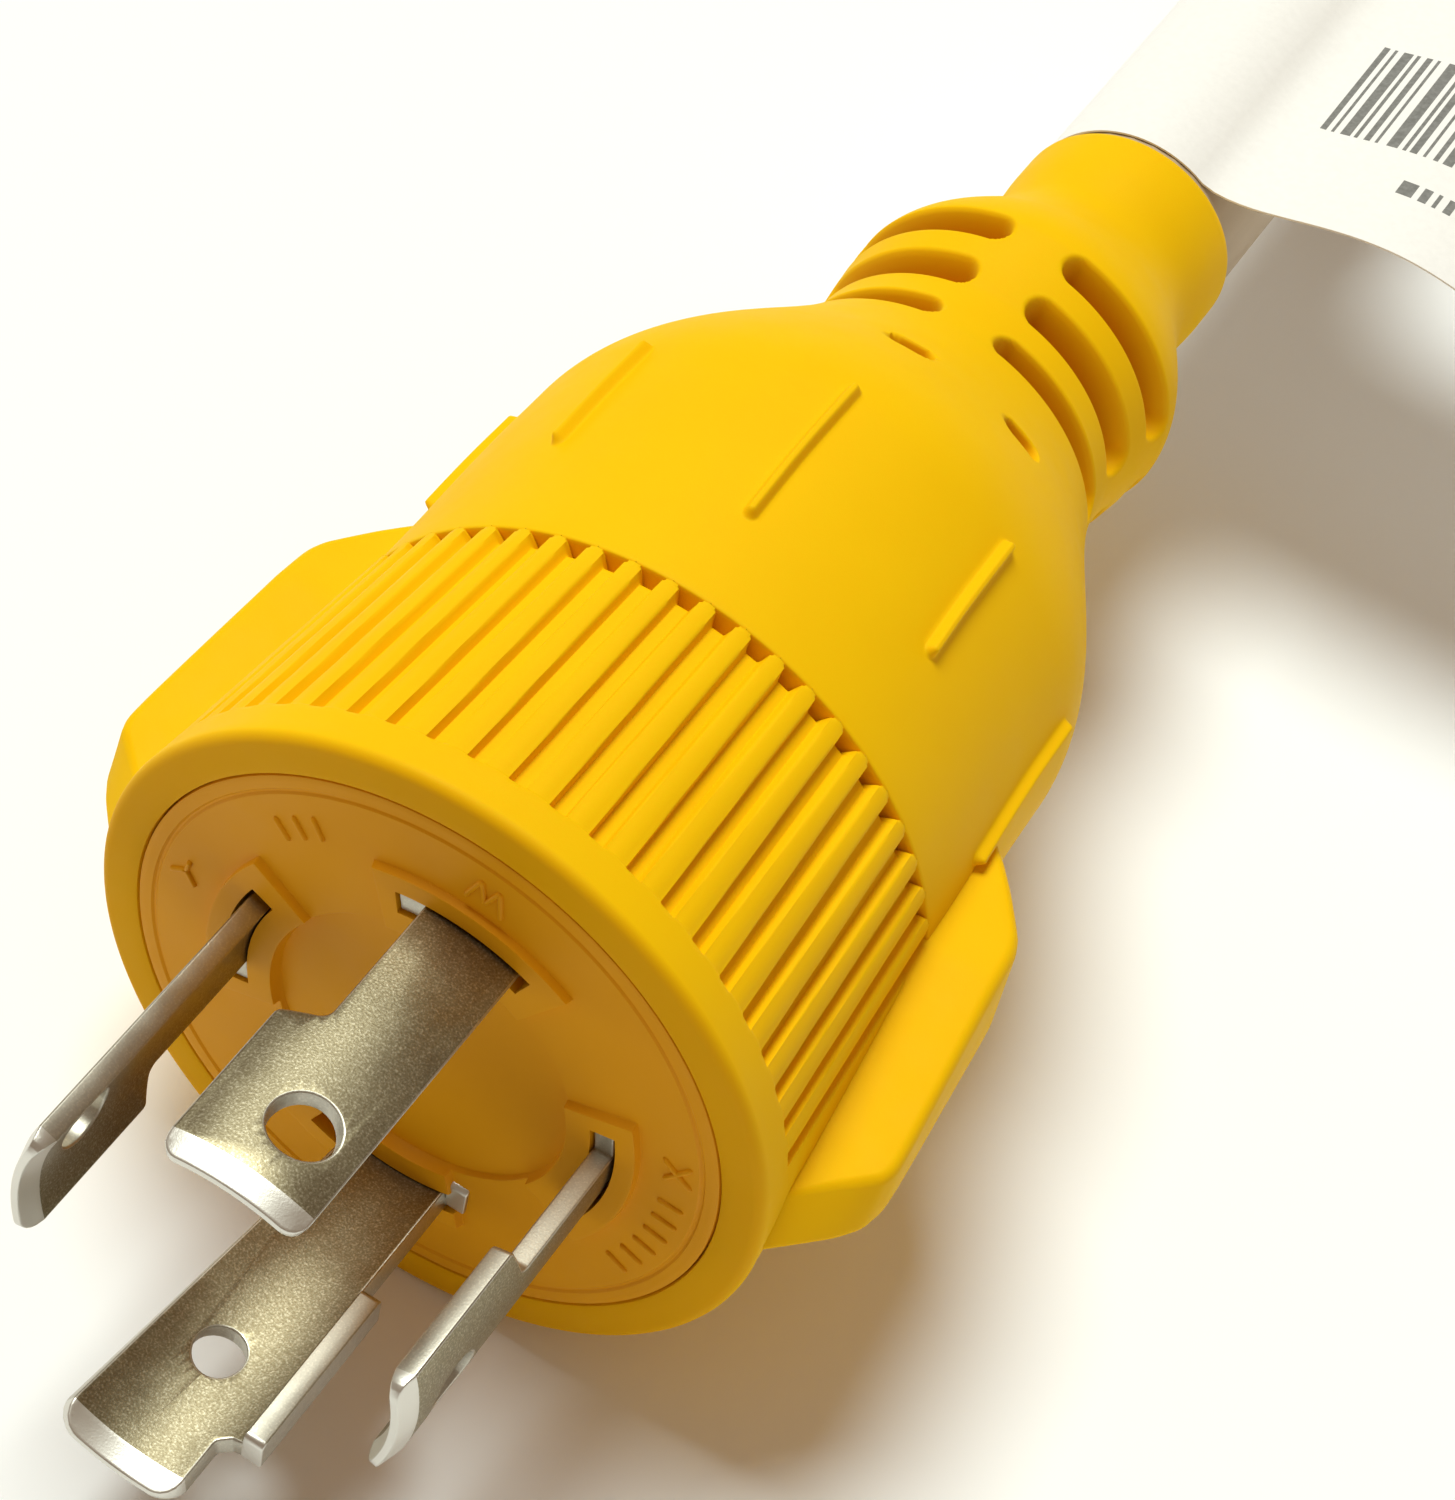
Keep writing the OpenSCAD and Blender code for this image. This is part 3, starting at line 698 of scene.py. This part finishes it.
def relief_points():
    """Points of the strain relief and, for each, how deep in a slot it lies, as painted shade."""
    angles = np.radians(np.arange(0, 360, 1.0))
    slotted_y = np.concatenate([np.arange(COVER_END_Y, 80.9, 0.16), np.arange(81.0, CUFF_Y, 0.4)])
    depth = slot_cut(angles[None, :], slotted_y[:, None], 13.2)
    slotted = all_round(body_radius(slotted_y), len(angles)) - SLOT_DEPTH * depth
    # The cuff widens a little and ends in a rounded edge on the cable
    edge_y = RELIEF_END - np.array([1.0, 0.7, 0.45, 0.25, 0.1, 0, 0])
    cuff_y = np.concatenate([np.arange(CUFF_Y + 0.3, 97.6, 0.6), edge_y])
    cuff_r = CUFF_R + 0.2 * smooth(cuff_y, CUFF_Y, 95.5)
    cuff_r[-6:] -= np.array([0.02, 0.07, 0.15, 0.28, 0.5, 0.6])
    bore_r = CORD_R - 0.02
    cuff_r[-1] = bore_r
    radii = np.vstack([slotted, all_round(cuff_r, len(angles)), all_round([bore_r], len(angles))])
    ys = np.concatenate([slotted_y, cuff_y, [COVER_END_Y]])
    # Painted shade in the slots, deeper where the slots are deeper
    shade = np.zeros(radii.shape)
    shade[:len(depth)] = SLOT_SHADE * depth
    return round_points(radii, angles, ys), shade


def make_strain_relief(name, bent):
    """The slotted strain relief and its cuff, straight or bent as on the plug."""
    points, shade = relief_points()
    if bent:
        points = lean(points)
    return mark_shade(new_object(name, points, grid_faces(*shade.shape), 60), shade)


def make_jacket_end():
    """The stripped end of the cable's jacket, bent with the strain relief."""
    low, high = mm_box("plug_jacket_end")
    inner_r = 6.35
    rows = 24
    angles = np.radians(np.arange(0, 360, 5.0))
    ys = np.concatenate([np.linspace(low.y, high.y, rows), np.linspace(high.y, low.y, rows)])
    radii = all_round([CORD_R - 0.05] * rows + [inner_r] * rows, len(angles))
    points = round_points(radii, angles, ys)
    # Only the outside bends, as the wires inside it are straight
    points[:rows] = lean(points[:rows])
    return new_object("plug_jacket_end_skin", points, grid_faces(*radii.shape), 40)


# ---------------------------------------------------------------- plug: face


def band(x, low, high, soft):
    """1 between low and high, with soft edges of the given width."""
    return smooth(x, low - soft, low + soft) * (1 - smooth(x, high - soft, high + soft))


def face_height(angles, radii):
    """Height of the face in front of the ring's rim, in millimetres."""
    face_set_back = 0.05
    recess_depth = 0.40
    pad_height = 0.60
    slot_depth = 2.6
    edge_groove_depth = 0.14
    height = np.full(np.broadcast(angles, radii).shape, -face_set_back)
    height -= recess_depth * (1 - smooth(radii, PAD_IN - 0.16, PAD_IN - 0.02))
    for letter, axis in BLADE_ANGLES.items():
        turn = turn_from(angles, axis)
        pad = band(turn, PAD_LOW, PAD_HIGH, 0.5) * band(radii, PAD_IN, PAD_OUT, 0.06)
        height += pad_height * pad
        slot_high = GROUND_SLOT_HIGH if letter == "g" else SLOT_HIGH
        slot = band(turn, SLOT_LOW, slot_high, 0.22) * band(radii, SLOT_IN_R, SLOT_OUT_R, 0.05)
        height -= slot_depth * slot
    return height - edge_groove_depth * band(radii, *EDGE_GROOVE, 0.08)


def carrier_radii():
    """Radii of the face's rows, close together at the walls of recess, pads, slots and groove."""
    wall = (-0.05, -0.02, 0.02, 0.05)
    radii = [0.3, 2.0, 4.0, 6.0, 8.0, 9.6, 10.4]
    radii += [PAD_IN + off for off in (-0.3, -0.22, -0.16, -0.1, -0.05, 0.0, 0.05, 0.1, 0.2)]
    radii += [11.8, 12.4, 12.8]
    radii += [SLOT_IN_R + off for off in wall]
    radii += [13.4, 13.8, 14.2]
    radii += [SLOT_OUT_R + off for off in wall]
    radii += [15.0, 15.5, 15.9]
    radii += [PAD_OUT + off for off in (-0.1, -0.05, 0.0, 0.05, 0.1, 0.3)]
    radii += [17.5, 19.0, 20.3]
    radii += [edge + off for edge in EDGE_GROOVE for off in (-0.08, 0.0, 0.08)]
    radii += [21.0, 21.3]
    return np.array(radii + [CARRIER_R - off for off in (0.2, 0.08, 0.03)])


def carrier_angles():
    """Angles of the face's columns, close together at the sides of pads and slots."""
    angles = set(np.arange(0, 360, 2.0))
    side = (0.1, 0.2, 0.4, 0.6)
    for axis in BLADE_ANGLES.values():
        for edge in (PAD_LOW, PAD_HIGH, SLOT_LOW, SLOT_HIGH, GROUND_SLOT_HIGH):
            angles.add((axis + edge) % 360.0)
            for off in side:
                angles.add((axis + edge - off) % 360.0)
                angles.add((axis + edge + off) % 360.0)
    return np.radians(np.unique(np.round(sorted(angles), 3)))


def make_carrier():
    """The disc that holds the blades, with its face in relief and a flat back."""
    radii, angles = carrier_radii(), carrier_angles()
    height = face_height(angles[None, :], radii[:, None])
    # Round the outer edge
    height[-1] -= 0.22
    height[-2] -= 0.05
    front = round_points(radii[:, None], angles, -height)
    back_y = 6.0
    back = round_points(all_round([radii[-1], radii[0]], len(angles)), angles, [back_y, back_y])
    points = np.vstack([front, back])
    return new_object("blade_carrier_skin", points, grid_faces(*points.shape[:2]), 30)


def stroke(name, ends, width, height, lift):
    """A raised stroke with a rounded back, between two points of the face."""
    (x0, z0), (x1, z1) = ends
    length = math.hypot(x1 - x0, z1 - z0)
    ux, uz = (x1 - x0) / length, (z1 - z0) / length
    rows = []
    for part in (0.0, 0.08, 0.25, 0.5, 0.75, 0.92, 1.0):
        taper = 0.45 if part in (0.0, 1.0) else 1.0
        along = length * part
        row = []
        for t in np.linspace(0, math.pi, 7):
            across = -math.cos(t) * width / 2 * taper
            y = -lift - math.sin(t) * height * taper
            row.append((x0 + ux * along - uz * across, y, z0 + uz * along + ux * across))
        rows.append(row)
    points = np.array(rows)
    return new_object(name, points, capped_faces(*points.shape[:2]), 60)


# Terminal marks as strokes in a unit cell, x to the right and y up as read
MARKS = {
    "x": [((-0.5, -0.5), (0.5, 0.5)), ((-0.5, 0.5), (0.5, -0.5))],
    "y": [((-0.5, 0.5), (0.0, 0.0)), ((0.5, 0.5), (0.0, 0.0)), ((0.0, 0.0), (0.0, -0.5))],
    "w": [((-0.6, 0.5), (-0.3, -0.5)), ((-0.3, -0.5), (0.0, 0.3)),
          ((0.0, 0.3), (0.3, -0.5)), ((0.3, -0.5), (0.6, 0.5))],
    "bar": [((0.0, -0.5), (0.0, 0.5))],
}


def mark_strokes(name, kind, radius, angle, size, spin):
    """Strokes of one mark on the face, centred at a radius and an angle and turned by spin."""
    width, height, lift = 0.38, 0.26, -0.06
    cx, cz = radius * math.cos(math.radians(angle)), radius * math.sin(math.radians(angle))
    c, s = math.cos(math.radians(spin)), math.sin(math.radians(spin))
    made = []
    for i, ends in enumerate(MARKS[kind]):
        placed = [(cx + size * (c * px - s * py), cz + size * (s * px + c * py)) for px, py in ends]
        made.append(stroke(f"{name}_{i}", placed, width, height, lift))
    return made


def make_face_marks():
    """Terminal marks beside three blades, and plain bars in two groups."""
    made = mark_strokes("mark_x", "x", 18.9, 8.7, 2.0, 8.7)
    made += mark_strokes("mark_y", "y", 18.8, 168.0, 2.0, 168.0)
    made += mark_strokes("mark_w", "w", 18.1, 82.0, 2.2, 172.0)
    # Name of the group, number of bars, radius, angle of the first and step to the next
    groups = (("rating_bar", 6, 18.8, -30.0, 5.6), ("size_bar", 3, 17.8, 122.0, 5.0))
    for name, count, radius, first, step in groups:
        for k in range(count):
            angle = first + step * k
            made += mark_strokes(f"{name}_{k}", "bar", radius, angle, 1.9, angle - 90.0)
    return join(made, "face_marks")


# ---------------------------------------------------------------- blades


def rounded(corners, default=0.0):
    """Outline with rounded corners; a corner is (x, y) or (x, y, radius)."""
    out = []
    n = len(corners)
    for i, corner in enumerate(corners):
        p = Vector(corner[:2])
        r = corner[2] if len(corner) > 2 else default
        before = (Vector(corners[i - 1][:2]) - p).normalized()
        after = (Vector(corners[(i + 1) % n][:2]) - p).normalized()
        if r <= 0:
            out.append(tuple(p))
            continue
        half = before.angle(after) / 2
        cut = r / math.tan(half)
        centre = p + (before + after).normalized() * (r / math.sin(half))
        a, b = p + before * cut - centre, p + after * cut - centre
        for t in np.linspace(0, 1, 7):
            d = (a * (1 - t) + b * t).normalized() * r
            out.append(tuple(centre + d))
    return out


def plate_mesh(name, outline, holes, half_thickness, edge, cuts_u, cuts_v):
    """Flat plate with rounded edges from a filled curve, cut along u and v so that it can bend."""
    curve = bpy.data.curves.new(name, "CURVE")
    curve.dimensions = "2D"
    curve.fill_mode = "BOTH"
    curve.extrude = half_thickness - edge
    curve.bevel_depth = edge
    curve.bevel_resolution = 2
    curve.offset = -edge
    for loop in [outline] + holes:
        spline = curve.splines.new("POLY")
        spline.points.add(len(loop) - 1)
        for point, place in zip(spline.points, loop):
            point.co = (place[0], place[1], 0, 1)
        spline.use_cyclic_u = True
    holder = add_object(name, curve)
    bpy.context.view_layer.update()
    depsgraph = bpy.context.evaluated_depsgraph_get()
    mesh = bpy.data.meshes.new_from_object(holder.evaluated_get(depsgraph))
    bpy.data.objects.remove(holder)
    work = bmesh.new()
    work.from_mesh(mesh)
    bmesh.ops.remove_doubles(work, verts=work.verts, dist=0.002)
    planes = [((at, 0, 0), (1, 0, 0)) for at in cuts_u] + [((0, at, 0), (0, 1, 0)) for at in cuts_v]
    for place, direction in planes:
        everything = work.verts[:] + work.edges[:] + work.faces[:]
        bmesh.ops.bisect_plane(work, geom=everything, plane_co=place, plane_no=direction)
    bmesh.ops.recalc_face_normals(work, faces=work.faces)
    work.to_mesh(mesh)
    work.free()
    return mesh


def ring_hole(x, y, radius):
    """Outline of a round hole."""
    turns = np.linspace(0, 2 * math.pi, 37)[:-1]
    return [(x + radius * math.cos(t), y + radius * math.sin(t)) for t in turns]


def bend_plate(mesh, axis_angle, tip):
    """Bends a flat plate onto the blades' circle; the tip thins over the last stretch."""
    taper = 1.6
    thinned_by = 0.62
    for vertex in mesh.vertices:
        u, y, w = vertex.co
        thin = 1 - thinned_by * min(max((tip + taper - y) / taper, 0.0), 1.0)
        radius = BLADE_MID_R + w * thin
        angle = math.radians(axis_angle) + u / BLADE_MID_R
        vertex.co = Vector((radius * math.cos(angle), y, radius * math.sin(angle))) * MM


def mark_edge_highlights(mesh):
    """Face attribute for painted highlights: 0 on the curved flats, more on cut edges, 1 at the tip."""
    edge = mesh.attributes.new("edge", "FLOAT", "FACE")
    tip_length = 1.7 * MM
    tip = min(face.center.y for face in mesh.polygons) + tip_length
    for face in mesh.polygons:
        out = Vector((face.center.x, 0.0, face.center.z)).normalized()
        flat = abs(face.normal.dot(out)) > 0.975
        edge.data[face.index].value = 0.0 if flat else 1.0 if face.center.y < tip else 0.5


def finish_plate(name, mesh, smooth_angle=30):
    mark_edge_highlights(mesh)
    soften(mesh, smooth_angle)
    return add_object(name, mesh)


def make_blade(letter, name, corners, hole, tip, cuts_u):
    """A blade from the corners of its flat outline, bent onto the blades' circle."""
    edge_round = 0.16
    cuts_v = [tip + off for off in (0.35, 0.7, 1.0, 1.3, 1.6)]
    outline = rounded(corners)
    mesh = plate_mesh(name, outline, [ring_hole(*hole)], BLADE_HALF_T, edge_round, cuts_u, cuts_v)
    bend_plate(mesh, BLADE_ANGLES[letter], tip)
    return finish_plate(name, mesh)


def make_line_blade(letter):
    """A hooked blade: a broad end on a narrower neck, standing on a foot in its slot."""
    low, neck, hook, base = -5.7, 1.2, 4.1, 2.95
    corners = [
        (low, 7.0), (low, LINE_TIP, 1.2), (hook, LINE_TIP, 1.2), (hook, -11.6, 0.5),
        (neck, -10.7, 0.9), (neck, -0.3), (base, -0.3), (base, 7.0),
    ]
    hole = (-1.9, -17.8, 2.2)
    cuts = np.arange(-5.5, 4.1, 0.55)
    return make_blade(letter, f"blade_{letter}_skin", corners, hole, LINE_TIP, cuts)


def make_ground_blade():
    """The longer ground blade, with a leg turned inwards along one edge and another at its foot."""
    right = 5.3
    leg_half_t = 0.75
    bend = right - 0.2
    corners = [
        (-4.1, 7.0), (-4.1, 0.0), (-6.9, GROUND_TIP, 1.8), (2.4, GROUND_TIP, 1.6), (2.4, -23.8, 0.5),
        (3.2, -23.2, 0.3), (bend, -23.2, 0.3), (bend, -10.2, 0.3), (3.9, -10.2, 0.3), (3.9, -0.2),
        (bend, -0.2), (bend, 7.0),
    ]
    hole = (-1.3, -18.5, 1.8)
    cuts = np.arange(-6.8, 5.0, 0.55)
    pieces = [make_blade("g", "blade_g_plate", corners, hole, GROUND_TIP, cuts)]
    # Each leg is drawn along the plug and up, then stood on edge
    bottom, top = -13.9, -11.4
    for low, high in ((-23.3, -10.1), (-0.3, 6.0)):
        outline = rounded([(low, bottom, 0.2), (high, bottom, 0.2), (high, top, 0.5), (low, top, 0.5)])
        leg = plate_mesh("leg", outline, [], leg_half_t, 0.12, [], [])
        for vertex in leg.vertices:
            y, z, w = vertex.co
            vertex.co = Vector((right - leg_half_t + w, y, z)) * MM
        pieces.append(finish_plate("leg", leg))
    return join(pieces, "blade_g_skin")


# ---------------------------------------------------------------- cable and label


def make_cord():
    """The cable's jacket: a smooth curve through the route's points."""
    curve = bpy.data.curves.new("cord_jacket", "CURVE")
    curve.dimensions = "3D"
    spline = curve.splines.new("BEZIER")
    spline.bezier_points.add(len(ROUTE) - 1)
    for point, place in zip(spline.bezier_points, ROUTE):
        point.co = Vector(place) * MM
        point.handle_left_type = "AUTO"
        point.handle_right_type = "AUTO"
    spline.resolution_u = 8
    curve.bevel_depth = CORD_R * MM
    curve.bevel_resolution = 12
    curve.use_fill_caps = True
    return add_object("cord_jacket", curve)


def flag_height(x):
    """Height of the flag's line at x, smoothed over a few millimetres."""
    xs, heights = np.array(FLAG_LINE).T
    around = np.linspace(-1.6, 1.6, 9) * min(1.0, (x - xs[0]) / 3.0)
    return float(np.mean(np.interp(np.clip(x + around, xs[0], xs[-1]), xs, heights)))


def label_section(y):
    """Middle line of the paper in the plane across the cable, from under it to the flag's end."""
    radius = CORD_R + LABEL_T
    turns = np.radians(np.arange(260, 61, -4))
    wrap = [(radius * math.cos(turn), radius * math.sin(turn)) for turn in turns]
    start, end = FLAG_LINE[0][0], FLAG_LINE[-1][0]
    sag = LABEL_SAG * (y - LABEL_START) / (LABEL_END - LABEL_START)
    xs = np.linspace(start, end, FLAG_STEPS)
    return wrap + [(x, flag_height(x) - sag * (x - start)) for x in xs]


def make_label():
    """The paper: its middle line thickened to both sides, in rows along the cable."""
    rows = []
    for y in np.linspace(LABEL_START, LABEL_END, 20):
        line = np.array(label_section(y))
        along = np.gradient(line, axis=0)
        normal = np.stack([-along[:, 1], along[:, 0]], axis=1)
        normal /= np.linalg.norm(normal, axis=1)[:, None]
        outside = line + normal * LABEL_T / 2
        inside = (line - normal * LABEL_T / 2)[::-1]
        loop = np.vstack([outside, inside])
        rows.append(np.stack([loop[:, 0] + ROUTE[0][0], np.full(len(loop), y), loop[:, 1]], axis=1))
    points = np.array(rows)
    columns = points.shape[1]
    faces = tube_faces(*points.shape[:2])
    # Close the front and rear edges of the paper
    for start in (0, (len(rows) - 1) * columns):
        end = start + columns - 1
        for k in range(columns // 2 - 1):
            faces.append((start + k, start + k + 1, end - k - 1, end - k))
    return new_object("flag_label_paper", points, faces, 40)


def printed_row(x, widths, gaps, y0, y1):
    """Blocks of ink side by side on the flag: place, width, front and rear."""
    blocks = []
    for width, gap in zip(widths, gaps):
        blocks.append((x, width, y0, y1))
        x += width + gap
    return blocks


def make_label_bars():
    """Plain printed bars, and short dashes in front of them, meaning nothing."""
    widths = (0.5, 0.25, 0.8, 0.3, 0.5, 0.25, 0.9, 0.3, 0.6, 0.25, 0.4, 0.8, 0.3, 0.5)
    gaps = (0.4, 0.5, 0.3, 0.5, 0.4, 0.7, 0.4, 0.3, 0.5, 0.6, 0.4, 0.3, 0.5, 0.4)
    dashes = (1.3, 0.7, 1.6, 1.0, 1.2, 0.8, 1.5, 1.1, 0.9, 1.4)
    blocks = printed_row(9.1, widths, gaps, 111.8, 124.6)
    blocks += printed_row(17.5, dashes, [0.5] * len(dashes), 106.4, 108.2)
    above, below = 0.012, 0.02
    points, faces = [], []
    for x, width, y0, y1 in blocks:
        a = len(points)
        for y in (y0, y1):
            flag = np.array(label_section(y))[-FLAG_STEPS:]
            for px in (x, x + width):
                z = float(np.interp(px, flag[:, 0], flag[:, 1])) + LABEL_T / 2
                points.append((px + ROUTE[0][0], y, z + above))
                points.append((px + ROUTE[0][0], y, z - below))
        faces += [(a, a + 2, a + 6, a + 4), (a + 1, a + 5, a + 7, a + 3), (a, a + 1, a + 3, a + 2),
                  (a + 4, a + 6, a + 7, a + 5), (a, a + 4, a + 5, a + 1), (a + 2, a + 3, a + 7, a + 6)]
    return new_object("label_bars", points, faces, 30)


# ---------------------------------------------------------------- connector


def at_connector(piece):
    """Moves a piece drawn like the plug, face at the origin, to the connector's end."""
    turn = Matrix.Rotation(CON_TURN, 4, "Z")
    piece.data.transform(Matrix.Translation(CON_FACE_AT * MM) @ turn)
    return piece


def flat_round(angles, radius, half_height):
    """Radius of a circle with its top and bottom cut flat; the corners are slightly rounded."""
    flat = half_height / np.maximum(np.abs(np.sin(angles)), 0.2)
    # A soft minimum of the two radii
    sharp = 2.0
    total = np.exp(-sharp * (radius - half_height)) + np.exp(-sharp * (flat - half_height))
    return half_height - np.log(total) / sharp


def make_connector_shell():
    """The shell from its opening at the rear through the mouth and back along the outside."""
    angles = np.radians(np.arange(0, 360, 1.5))[None, :]
    end_r = float(body_radius(np.array([COVER_END_Y]))[0])
    chamfer = 0.3
    rim_round = 1.2
    inside = flat_round(angles, CON_R - CON_WALL, CON_HALF_H - CON_WALL)
    mouth = flat_round(angles, CON_R - CON_WALL + chamfer, CON_HALF_H - CON_WALL + chamfer)
    ys = [COVER_END_Y, CON_FACE_T, chamfer, 0.0]
    rows = [np.full(angles.shape, WAIST_R), inside, inside, mouth]
    for t in np.linspace(0, math.pi / 2, 7):
        inset = rim_round * (1 - math.sin(t))
        rows.append(flat_round(angles, CON_R - inset, CON_HALF_H - inset))
        ys.append(rim_round * (1 - math.cos(t)))
    back_y = np.concatenate([np.arange(4.0, 45.0, 4.0), np.arange(45.0, COVER_END_Y, 0.75)])
    for y in [*back_y, COVER_END_Y]:
        radius = CON_R - (CON_R - end_r) * float(smooth(y, COVER_MID_Y, COVER_END_Y))
        rows.append(flat_round(angles, radius, CON_HALF_H))
        ys.append(float(y))
    points = round_points(np.vstack(rows), angles[0], ys)
    faces = grid_faces(*points.shape[:2])
    return at_connector(new_object("connector_shell_skin", points, faces, 45))


def make_connector_face():
    """Contact face: two line slots, the neutral slot and the round ground hole."""
    angles = np.radians(np.arange(0, 360, 3.0))
    play = 0.05
    edge = flat_round(angles, CON_R - CON_WALL - play, CON_HALF_H - CON_WALL - play)
    outline = [(r * math.cos(a), r * math.sin(a)) for r, a in zip(edge, angles)]
    openings = []
    w = 1.1
    for x, z, height in ((13.5, 0.0, 16.0), (-13.5, 0.0, 16.0), (0.0, -11.5, 13.0)):
        h = height / 2
        corners = [(x - w, z - h), (x + w, z - h), (x + w, z + h), (x - w, z + h)]
        openings.append(rounded(corners, 0.25))
    openings.append(ring_hole(0.0, 13.0, 3.3))
    mesh = plate_mesh("connector_face", outline, openings, CON_FACE_T / 2, 0.35, [], [])
    for vertex in mesh.vertices:
        x, z, w = vertex.co
        vertex.co = Vector((x, CON_FACE_T / 2 - w, z)) * MM
    mesh.flip_normals()
    return at_connector(finish_plate("connector_face_skin", mesh, 35))


# ---------------------------------------------------------------- assembling

# CAD nodes that a piece made here stands for
REPLACED = set()


def take(piece, node, slot, material=None):
    """A piece that stands for a CAD node and gets that node's finish."""
    piece.data.materials.clear()
    piece.data.materials.append(material or MATERIALS[slot])
    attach(piece, "root")
    if node:
        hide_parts(node)
        REPLACED.add(node)
    return piece


def paint_cad_nodes():
    """Gives each CAD node that stays its material."""
    slots = {part["node"]: part["material_slot"] for part in frame["record"]["subparts"]}
    for name, node in frame["nodes"].items():
        if name not in REPLACED:
            node.data.materials.clear()
            node.data.materials.append(MATERIALS[slots[name]])


def make_floor():
    reach = 4.0
    mesh = bpy.data.meshes.new("floor")
    corners = [(-reach, -reach), (reach, -reach), (reach, reach), (-reach, reach)]
    mesh.from_pydata([(x, y, FLOOR_Z * MM) for x, y in corners], [], [(0, 1, 2, 3)])
    floor = add_object("floor", mesh)
    material, nodes, links, shader = node_material("floor")
    drift = noise(nodes, links, 3.0)
    links.new(ramp(nodes, links, drift, [(0.3, (0.94, 0.96, 0.98)), (0.7, (0.95, 0.97, 0.99))]),
              shader.inputs["Base Color"])
    shader.inputs["Roughness"].default_value = 0.8
    mesh.materials.append(material)


def main():
    make_camera()
    make_light()
    cord = take(make_cord(), "cord", "jacket_grey")
    label = take(make_label(), "flag_label", "label_paper")
    bars = take(make_label_bars(), None, "label_paper", INK)
    take(make_grip_ring(), "grip_ring", "grip_yellow")
    take(make_carrier(), "blade_carrier", "carrier_yellow")
    take(make_face_marks(), None, "carrier_yellow")
    take(make_rear_cover(), "rear_cover", "grip_yellow")
    take(make_strain_relief("plug_strain_relief_skin", bent=True), "plug_strain_relief", "grip_yellow")
    take(make_jacket_end(), "plug_jacket_end", "jacket_grey")
    for letter in "xyw":
        take(make_line_blade(letter), "blade_" + letter, "blade_nickel")
    take(make_ground_blade(), "blade_g", "blade_nickel")
    shell = take(make_connector_shell(), "connector_shell", "grip_yellow")
    face = take(make_connector_face(), "connector_face", "face_black")
    relief = at_connector(make_strain_relief("connector_strain_relief_skin", bent=False))
    take(relief, "connector_strain_relief", "grip_yellow")
    paint_cad_nodes()
    make_floor()


main()
